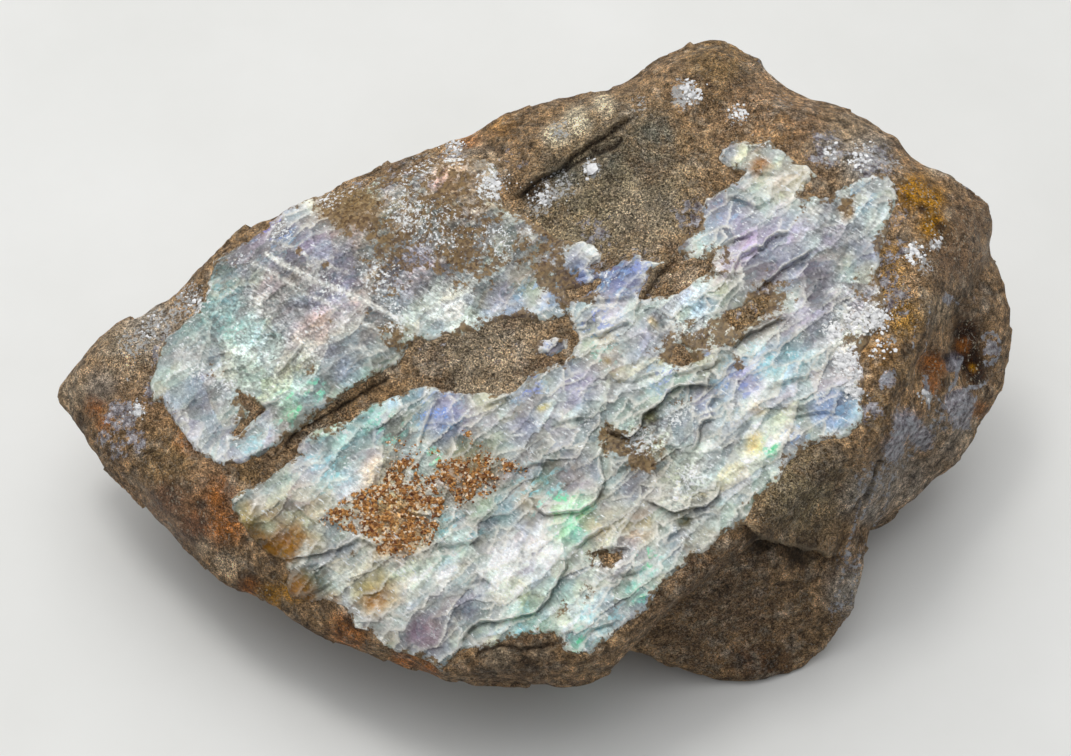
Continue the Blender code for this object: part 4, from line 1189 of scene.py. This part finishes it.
class OpalHostSettings(bpy.types.PropertyGroup):
    """Sizes of the ironstone host."""

    skin: FloatProperty(name="Skin mesh", description="Mesh size of the rock before its relief",
                        default=0.001, min=0.0005, unit="LENGTH")
    easing: IntProperty(name="Easing", description="Smoothing passes over the packed solid's facets",
                        default=8, min=0)
    lump_height: FloatProperty(name="Lump height", description="Height of the small weathered lumps",
                               default=0.00035, min=0, unit="LENGTH")
    sink: FloatProperty(name="Sink", description="How far the rock drops away under the opal",
                        default=0.0012, min=0, unit="LENGTH")
    triangles: IntProperty(name="Triangles", description="Most triangles in the rock",
                           default=190000, min=10000)


class OpalSeamSettings(bpy.types.PropertyGroup):
    """Sizes of the opal seam."""

    thickness: FloatProperty(name="Thickness", description="Thickness of the seam",
                             default=0.0025, min=0.001, unit="LENGTH")
    proud: FloatProperty(name="Proud", description="How far the opal stands out of the rock",
                         default=0.0004, min=0, unit="LENGTH")
    relief: FloatProperty(name="Relief", description="Steepness of the broken shells, 1 as found",
                          default=1.0, min=0)
    triangles: IntProperty(name="Triangles", description="Most triangles in the seam",
                           default=190000, min=10000)


class OpalCrumbSettings(bpy.types.PropertyGroup):
    """Sizes of the loose grains and flakes."""

    grains: IntProperty(name="Grains", description="Number of rust-coloured grains", default=3400, min=1)
    grain_size: FloatProperty(name="Grain size", description="Radius of a usual grain",
                              default=0.00017, min=0.0001, unit="LENGTH")
    flake_size: FloatProperty(name="Flake size", description="Radius of a usual white flake",
                              default=0.00021, min=0.0001, unit="LENGTH")


class OpalStageSettings(bpy.types.PropertyGroup):
    """Floor, light and camera."""

    lamp_power: FloatProperty(name="Lamp power",
                              description="Power of the soft lamp, of which the window lamp has a share",
                              default=8.6, min=0, subtype="POWER", unit="POWER")
    sky_strength: FloatProperty(name="Sky strength", description="Strength of the pale surroundings",
                                default=0.81, min=0)
    sky_colour: FloatVectorProperty(name="Sky colour", description="Colour of the pale surroundings",
                                    default=srgb("#F4F6FA")[:3], size=3, subtype="COLOR", min=0, max=1)


class OPAL_OT_host(bpy.types.Operator):
    """Make the ironstone host"""

    bl_idname = "opal.host"
    bl_label = "Ironstone host"

    def execute(self, context):
        settings = context.scene.opal_host
        mesh = stone_skin(settings.skin, settings.easing)
        points, *_, depth = shape_of(mesh)
        fine = (depth < UNDER_OPAL) & (points[:, 2] > FOOT)
        rock = bmesh.new()
        rock.from_mesh(mesh)
        rock.verts.ensure_lookup_table()
        edges = [edge for edge in rock.edges if fine[edge.verts[0].index] and fine[edge.verts[1].index]]
        cut_finer(rock, edges, 1, mesh)

        points, normals, flat, facing, depth = shape_of(mesh)
        above = smoothstep(0, FOOT_RISE, points[:, 2])
        lift = settings.lump_height / MM * cloud(points, LUMP_WIDTH, 1, 3)
        # Broken faces and strata on the sides that face away, and along the right flank and ridge.
        away = 1 - facing
        chance, offset = cells(points / np.array(BROKEN_FACES) + 0.2 * cloud(points, 7, 5)[:, None], 3)
        lift += away * above * (0.8 * (chance - 0.5) + 0.9 * offset[:, 0])
        flank = dab_strength(flat, STRATA_DABS) * facing
        strata = cloud(points @ np.array(((0.9, 0, 0.3), (0.1, 0.45, 0), (0, 0.1, 0.22))), 2.0, 8, 3)
        lift += 0.45 * flank * strata
        lift += facing * ledges_lift(flat, points)
        split = flat + 2 * cloud(points, 1.5, CRACK_SEED)[:, None]
        for half, deep, line in CRACKS:
            lift -= facing * deep * line_share(split, line, 0.5 * half, 2 * half)
        lift -= settings.sink / MM * smoothstep(0.3, 1.5, depth)
        points += normals * (lift * above)[:, None]
        write_points(mesh, points)

        # Colours: dabs where the camera looks, and mixed ironstone tones on the other sides.
        blend = smoothstep(-0.5, 0.5, cloud(points, 22, 30, 3))[:, None]
        warm = smoothstep(-0.3, 0.6, cloud(points, 9, 33, 3))[:, None]
        tone = rgb(HOST_TONES["ironstone"]) * blend + rgb(HOST_TONES["rind"]) * (1 - blend)
        tone = tone * (1 - 0.5 * warm) + rgb(HOST_TONES["bark"]) * 0.5 * warm
        drawn = dab_colour(flat, HOST_DABS, HOST_TONES, "ironstone")
        tone = tone * away[:, None] + drawn * facing[:, None]
        paint(mesh, "tone", tone)
        paint(mesh, "film", facing * dab_strength(flat, FILM_DABS))
        paint(mesh, "fleck", facing * dab_strength(flat, FLECK_DABS) + 0.25 * away * above)
        hidden_vein = away * smoothstep(0.25, 0.6, cloud(points, 16, 50))
        vein = 0.8 * facing * dab_strength(flat, VEIN_DABS)
        wavy = flat + 2.5 * waver(points, 2.5, (51, 52), 2)
        for half, strength, line in VEIN_LINES:
            share = line_share(wavy, line, 0.1 * half, 1.6 * half)
            vein = np.maximum(vein, facing * 1.05 * strength * share)
        paint(mesh, "vein", vein + 0.8 * hidden_vein)
        # Painted shade in hollows, under the overhang and along the cracks.
        painted_shade = facing * dab_strength(flat, PAINTED_SHADE_DABS)
        split = flat + 2 * cloud(points, 1.5, CRACK_SEED)[:, None]
        for half, deep, line in SHADED_CRACKS:
            painted_shade = np.maximum(painted_shade, facing * 0.55 * line_share(split, line, half, 3 * half))
        paint(mesh, "painted_shade", 0.85 * painted_shade)
        paint(mesh, "sandy", 0.6 * away + facing * (0.25 + 0.75 * dab_strength(flat, SANDY_DABS)))
        paint(mesh, "gloss", facing * dab_strength(flat, GLOSS_DABS))
        paint(mesh, "edge", bulge(mesh, 3))
        finish_piece("host_rock", thinned(mesh, settings.triangles), rock_material(), NODE)
        return {"FINISHED"}


class OPAL_OT_seam(bpy.types.Operator):
    """Make the chipped opal seam"""

    bl_idname = "opal.seam"
    bl_label = "Opal seam"

    def execute(self, context):
        settings = context.scene.opal_seam
        host = context.scene.opal_host
        mesh = stone_skin(host.skin, host.easing)
        depth = shape_of(mesh)[-1]
        seam = bmesh.new()
        seam.from_mesh(mesh)
        marker = seam.verts.layers.float.new("top")
        seam.verts.ensure_lookup_table()
        bare = [face for face in seam.faces if max(depth[vert.index] for vert in face.verts) < -2]
        bmesh.ops.delete(seam, geom=bare, context="FACES")
        seam.normal_update()
        under = [(vert, vert.normal.copy()) for vert in seam.verts]
        made = bmesh.ops.extrude_face_region(seam, geom=seam.faces[:], use_keep_orig=True)
        top = [item for item in made["geom"] if isinstance(item, bmesh.types.BMFace)]
        raised = {vert for face in top for vert in face.verts}
        for vert, normal in under:
            vert.co -= normal * settings.thickness
        bmesh.ops.recalc_face_normals(seam, faces=seam.faces)
        edges = list(dict.fromkeys(edge for face in top for edge in face.edges))
        for vert in raised:
            vert[marker] = 1.0
        cut_finer(seam, edges, 3, mesh)

        points, normals, flat, _, depth = shape_of(mesh)
        mark = np.empty(len(mesh.vertices), np.float32)
        mesh.attributes["top"].data.foreach_get("value", mark)
        top = mark > 0.5
        mesh.attributes.remove(mesh.attributes["top"])
        lift, shells, rises = self.relief(mesh, settings, points, flat, depth)
        self.colour(mesh, points, flat, depth, shells, rises)
        points[top] += (normals * lift[:, None])[top]
        write_points(mesh, points)
        paint(mesh, "edge", bulge(mesh, 4))
        finish_piece("opal_seam", thinned(mesh, settings.triangles), opal_material())
        return {"FINISHED"}

    def relief(self, mesh, settings, points, flat, depth):
        """Lift of the seam's top, knapped in shells that face mostly to the lower right.

        The number of each point's shell and its rise on each layer of plates come with it.
        """
        inside = smoothstep(0, 0.8, depth)
        lift = settings.proud / MM * smoothstep(-0.1, 0.6, depth)
        lift -= BORDER_DROP * (1 - smoothstep(-1.0, 0, depth))
        calm = 1 - CALMING * dab_strength(flat, CALM_DABS)
        run = np.array((math.cos(STRIKE), math.sin(STRIKE)))
        fall = np.array((-run[1], run[0]))
        sheet = flat * PIXEL
        shells = []
        rises = []
        lip_highlights = np.zeros(len(flat))
        for size, slope, bend, seed in PLATES:
            bent = sheet + bend * size * waver(points, size / 2, (seed + 20, seed + 30), 3)
            laid = np.column_stack((bent @ fall, bent @ run / LONG_PLATES)) / size
            height, chance, lip = plates(laid, seed)
            lip_highlights = np.maximum(lip_highlights, calm * (1 - smoothstep(0.1, 0.5, lip * size)))
            lift += inside * calm * settings.relief * size * slope * (height - 0.2)
            shells.append(chance)
            rises.append(height)
        for size, slope, lean, bend, seed in SHELLS:
            bent = sheet + bend * size * waver(points, size, (seed + 20, seed + 30), 2)
            deep, chance = scoops(np.column_stack((bent @ run / LONG_SHELLS, bent @ fall)) / size, seed, lean)
            lift += inside * calm * settings.relief * size * slope * (0.6 + 0.8 * (chance * 7.3 % 1)) * deep
            shells.append(chance)
        lift += inside * ledges_lift(flat, points)
        # Painted highlight along each plate's lower lip.
        paint(mesh, "lip", lip_highlights * smoothstep(-0.4, 0.3, cloud(points, 5, 97, 2)))
        return lift, shells, rises

    def colour(self, mesh, points, flat, depth, shells, rises):
        """Paint the body colour, shell by shell, with painted light and shade across each plate, its fire and
        streaks, and the sand and flecks on it.
        """
        drift = flat + 5 * waver(points, 4, (81, 82), 3)
        tint = dab_colour(drift, OPAL_DABS, OPAL_TINTS, "milk")
        for chance, (share, spread) in zip(shells, SHELL_TINTS):
            cast = np.array(CASTS)[(chance * 97 % len(CASTS)).astype(int)]
            tint = tint * (1 + share * (cast - 1)) * (1 + spread * ((chance * 31.7 % 1) - 0.5))[:, None]
        # Painted light and shade: each plate lighter towards its high lip and darker towards its low foot.
        for rise, share in zip(rises, PLATE_SHADING):
            tint = tint * (1 + share * np.clip(rise - 0.1, -0.6, 0.6))[:, None]
        paint(mesh, "fire", dab_colour(drift, FIRE_DABS, FIRE, "cyan"))
        strength = dab_strength(drift, [dab[1:] for dab in FIRE_DABS])
        paint(mesh, "flash", 0.06 + strength * (0.55 + 0.45 * (shells[1] * 5.9 % 1)))
        bend = flat + 1.5 * waver(points, 2, (41, 42), 2)
        for half, strength, line in STREAKS:
            share = strength * line_share(bend, line, half, 2.2 * half, taper=6)[:, None]
            tint = tint * (1 - share) + rgb(STREAK_TINT) * share
        paint(mesh, "tint", np.clip(TINT_LEVEL * tint, 0, BRIGHTEST))
        rim = RIM_SAND * (1 - smoothstep(0, RIM_WIDTH, depth))
        sand = 1 - (1 - rim) * (1 - dab_strength(drift, SAND_DABS))
        paint(mesh, "sand", np.clip(sand + 0.12 * cloud(points, 3, 95, 2) - 0.02, 0, 1))
        paint(mesh, "fleck", dab_strength(drift, FLECK_DABS) + 0.12)
        paint(mesh, "crushed", dab_strength(flat, CRUSHED_DABS))


class OPAL_OT_crumbs(bpy.types.Operator):
    """Scatter the rust-coloured grains and the white flakes"""

    bl_idname = "opal.crumbs"
    bl_label = "Grains and flakes"

    def execute(self, context):
        settings = context.scene.opal_crumbs
        surface = bmesh.new()
        for name in ("host_rock", "opal_seam"):
            surface.from_mesh(bpy.data.objects[name].data)
        tree = BVHTree.FromBMesh(surface)
        surface.free()
        chance = random.Random(11)
        spots = []
        xs, ys = zip(*GRAIN_ZONE)
        while len(spots) < settings.grains:
            spot = np.array(((chance.uniform(min(xs), max(xs)), chance.uniform(min(ys), max(ys))),))
            inside = zone_depth(spot, GRAIN_ZONE)[0]
            clump = smoothstep(-0.3, 0.25, cloud(spot, 6.0, 5, 3)[0])
            if inside > -3 and chance.random() < (0.08 + 0.9 * clump) * smoothstep(-3, 5, inside):
                spots.append((spot[0], 1.0))
        for x, y, radius in GRAIN_ISLETS:
            for _ in range(ISLET_GRAINS):
                spots.append(((chance.gauss(x, radius / 2), chance.gauss(y, radius / 2)), 0.8))
        self.scatter("rust_grains", tree, chance, spots, settings.grain_size, 0.75, grain_material())
        spots = []
        for x, y, radius, count in CRUST_CLUSTERS:
            made = 0
            while made < 2 * count:
                spot = np.array((chance.gauss(x, radius / 2), chance.gauss(y, radius / 2)))
                if cloud(spot[None], 2.5, 6, 2)[0] > 0.05:
                    spots.append((spot, 0.8))
                    made += 1
        self.scatter("white_crust", tree, chance, spots, settings.flake_size, 0.4, crust_material())
        return {"FINISHED"}

    def scatter(self, name, tree, chance, spots, size, flatness, material):
        """Set a small lump on the stone at each spot of the picture."""
        shapes = []
        for _ in range(LUMP_SHAPES):
            lump = bmesh.new()
            bmesh.ops.create_icosphere(lump, subdivisions=1, radius=1)
            for vert in lump.verts:
                vert.co *= 0.6 + 0.7 * chance.random()
            mesh = bpy.data.meshes.new(name)
            lump.to_mesh(mesh)
            lump.free()
            shapes.append(mesh)
        crumbs = bmesh.new()
        eye = Vector(CAMERA_PLACE) * MM
        for (x, y), scale in spots:
            ray = LOOK * FOCAL_PIXELS + np.array((1, 0, 0)) * (x - PICTURE_WIDTH / 2)
            ray = ray - PICTURE_UP * (y - PICTURE_HEIGHT / 2)
            place, normal = tree.ray_cast(eye, Vector(ray).normalized())[:2]
            if place is None:
                continue
            radius = size * scale * math.exp(chance.gauss(-0.1, 0.45))
            turn = normal.to_track_quat("Z", "Y").to_matrix().to_4x4()
            turn = turn @ Matrix.Rotation(chance.uniform(0, 6.28), 4, "Z")
            form = Matrix.Diagonal((radius * chance.uniform(0.8, 1.4), radius, radius * flatness, 1))
            shape = chance.choice(shapes).copy()
            shape.transform(Matrix.Translation(place + normal * radius * flatness * 0.3) @ turn @ form)
            crumbs.from_mesh(shape)
            bpy.data.meshes.remove(shape)
        mesh = bpy.data.meshes.new(name)
        crumbs.to_mesh(mesh)
        crumbs.free()
        piece = finish_piece(name, mesh, material)
        mesh.shade_flat()
        return piece


class OPAL_OT_stage(bpy.types.Operator):
    """Set the floor, the lamps, the surroundings and the camera"""

    bl_idname = "opal.stage"
    bl_label = "Floor, light and camera"

    def execute(self, context):
        settings = context.scene.opal_stage
        top = bmesh.new()
        bmesh.ops.create_grid(top, x_segments=2, y_segments=2, size=FLOOR_HALF_WIDTH)
        mesh = bpy.data.meshes.new("bench_top")
        top.to_mesh(mesh)
        top.free()
        floor = link("bench_top", mesh)
        mesh.materials.append(floor_material())

        # A large soft lamp, and a small window that gives the waxy opal its glints.
        for name, size, share, place in LAMPS:
            lamp = bpy.data.lights.new(name, "AREA")
            lamp.energy = settings.lamp_power * share
            lamp.size = size
            lamp.color = LAMP_COLOUR
            lamp_object = link(name, lamp)
            lamp_object.location = place
            aim = Vector(LAMP_TARGET) - lamp_object.location
            lamp_object.rotation_euler = aim.to_track_quat("-Z", "Y").to_euler()

        # The room is bright overhead and darker towards the horizon, so shadows close in under the stone.
        world = bpy.data.worlds.new("pale_room")
        context.scene.world = world
        world.use_nodes = True
        room = world.node_tree
        around = add(room, "TexCoord", {}).outputs["Generated"]
        across = add(room, "SeparateXYZ", {0: around})
        overhead, behind = (
            add(room, "MapRange", {
                "Value": across.outputs[axis], "From Min": low, "From Max": high, "To Min": least,
                "To Max": most})
            for axis, low, high, least, most in (("Z", 0.1, 0.9, 0.06, 1.5), ("Y", -0.9, 0.3, 0.35, 1.0)))
        level = add(room, "Math", {0: overhead, 1: behind}, operation="MULTIPLY")
        colour = tuple(settings.sky_colour) + (1.0,)
        sky = add(room, "Mix", {0: 1.0, MIX_A: colour, MIX_B: level}, data_type="RGBA", blend_type="MULTIPLY")
        back = room.nodes["Background"]
        room.links.new(sky.outputs[MIX_OUT], back.inputs["Color"])
        back.inputs["Strength"].default_value = settings.sky_strength

        camera = bpy.data.cameras.new("camera")
        camera.lens = LENS
        camera.sensor_width = SENSOR
        camera.clip_start = 0.01
        camera_object = link("camera", camera)
        camera_object.location = Vector(CAMERA_PLACE) * MM
        camera_object.rotation_euler = (math.pi / 2 - CAMERA_ELEVATION, 0, 0)
        context.scene.camera = camera_object
        context.scene.view_settings.view_transform = "Standard"
        return {"FINISHED"}


class OPAL_PT_specimen(bpy.types.Panel):
    """Steps of the opal specimen, in order"""

    bl_label = "Rough opal specimen"
    bl_space_type = "VIEW_3D"
    bl_region_type = "UI"
    bl_category = "Opal"

    def draw(self, context):
        for settings, operator in (
            (context.scene.opal_host, OPAL_OT_host),
            (context.scene.opal_seam, OPAL_OT_seam),
            (context.scene.opal_crumbs, OPAL_OT_crumbs),
            (context.scene.opal_stage, OPAL_OT_stage),
        ):
            box = self.layout.box()
            for field in settings.__annotations__:
                box.prop(settings, field)
            box.operator(operator.bl_idname)


CLASSES = (
    OpalHostSettings, OpalSeamSettings, OpalCrumbSettings, OpalStageSettings,
    OPAL_OT_host, OPAL_OT_seam, OPAL_OT_crumbs, OPAL_OT_stage, OPAL_PT_specimen,
)


def register():
    """Register the classes and hang each group of settings on the scene."""
    for kind in CLASSES:
        bpy.utils.register_class(kind)
    bpy.types.Scene.opal_host = PointerProperty(type=OpalHostSettings)
    bpy.types.Scene.opal_seam = PointerProperty(type=OpalSeamSettings)
    bpy.types.Scene.opal_crumbs = PointerProperty(type=OpalCrumbSettings)
    bpy.types.Scene.opal_stage = PointerProperty(type=OpalStageSettings)


def unregister():
    """Take the settings and the classes away again."""
    for field in ("opal_host", "opal_seam", "opal_crumbs", "opal_stage"):
        delattr(bpy.types.Scene, field)
    for kind in reversed(CLASSES):
        bpy.utils.unregister_class(kind)


def main():
    """Make the specimen piece by piece."""
    register()
    bpy.ops.opal.host()
    bpy.ops.opal.seam()
    bpy.ops.opal.crumbs()
    bpy.ops.opal.stage()


if __name__ == "__main__":
    main()
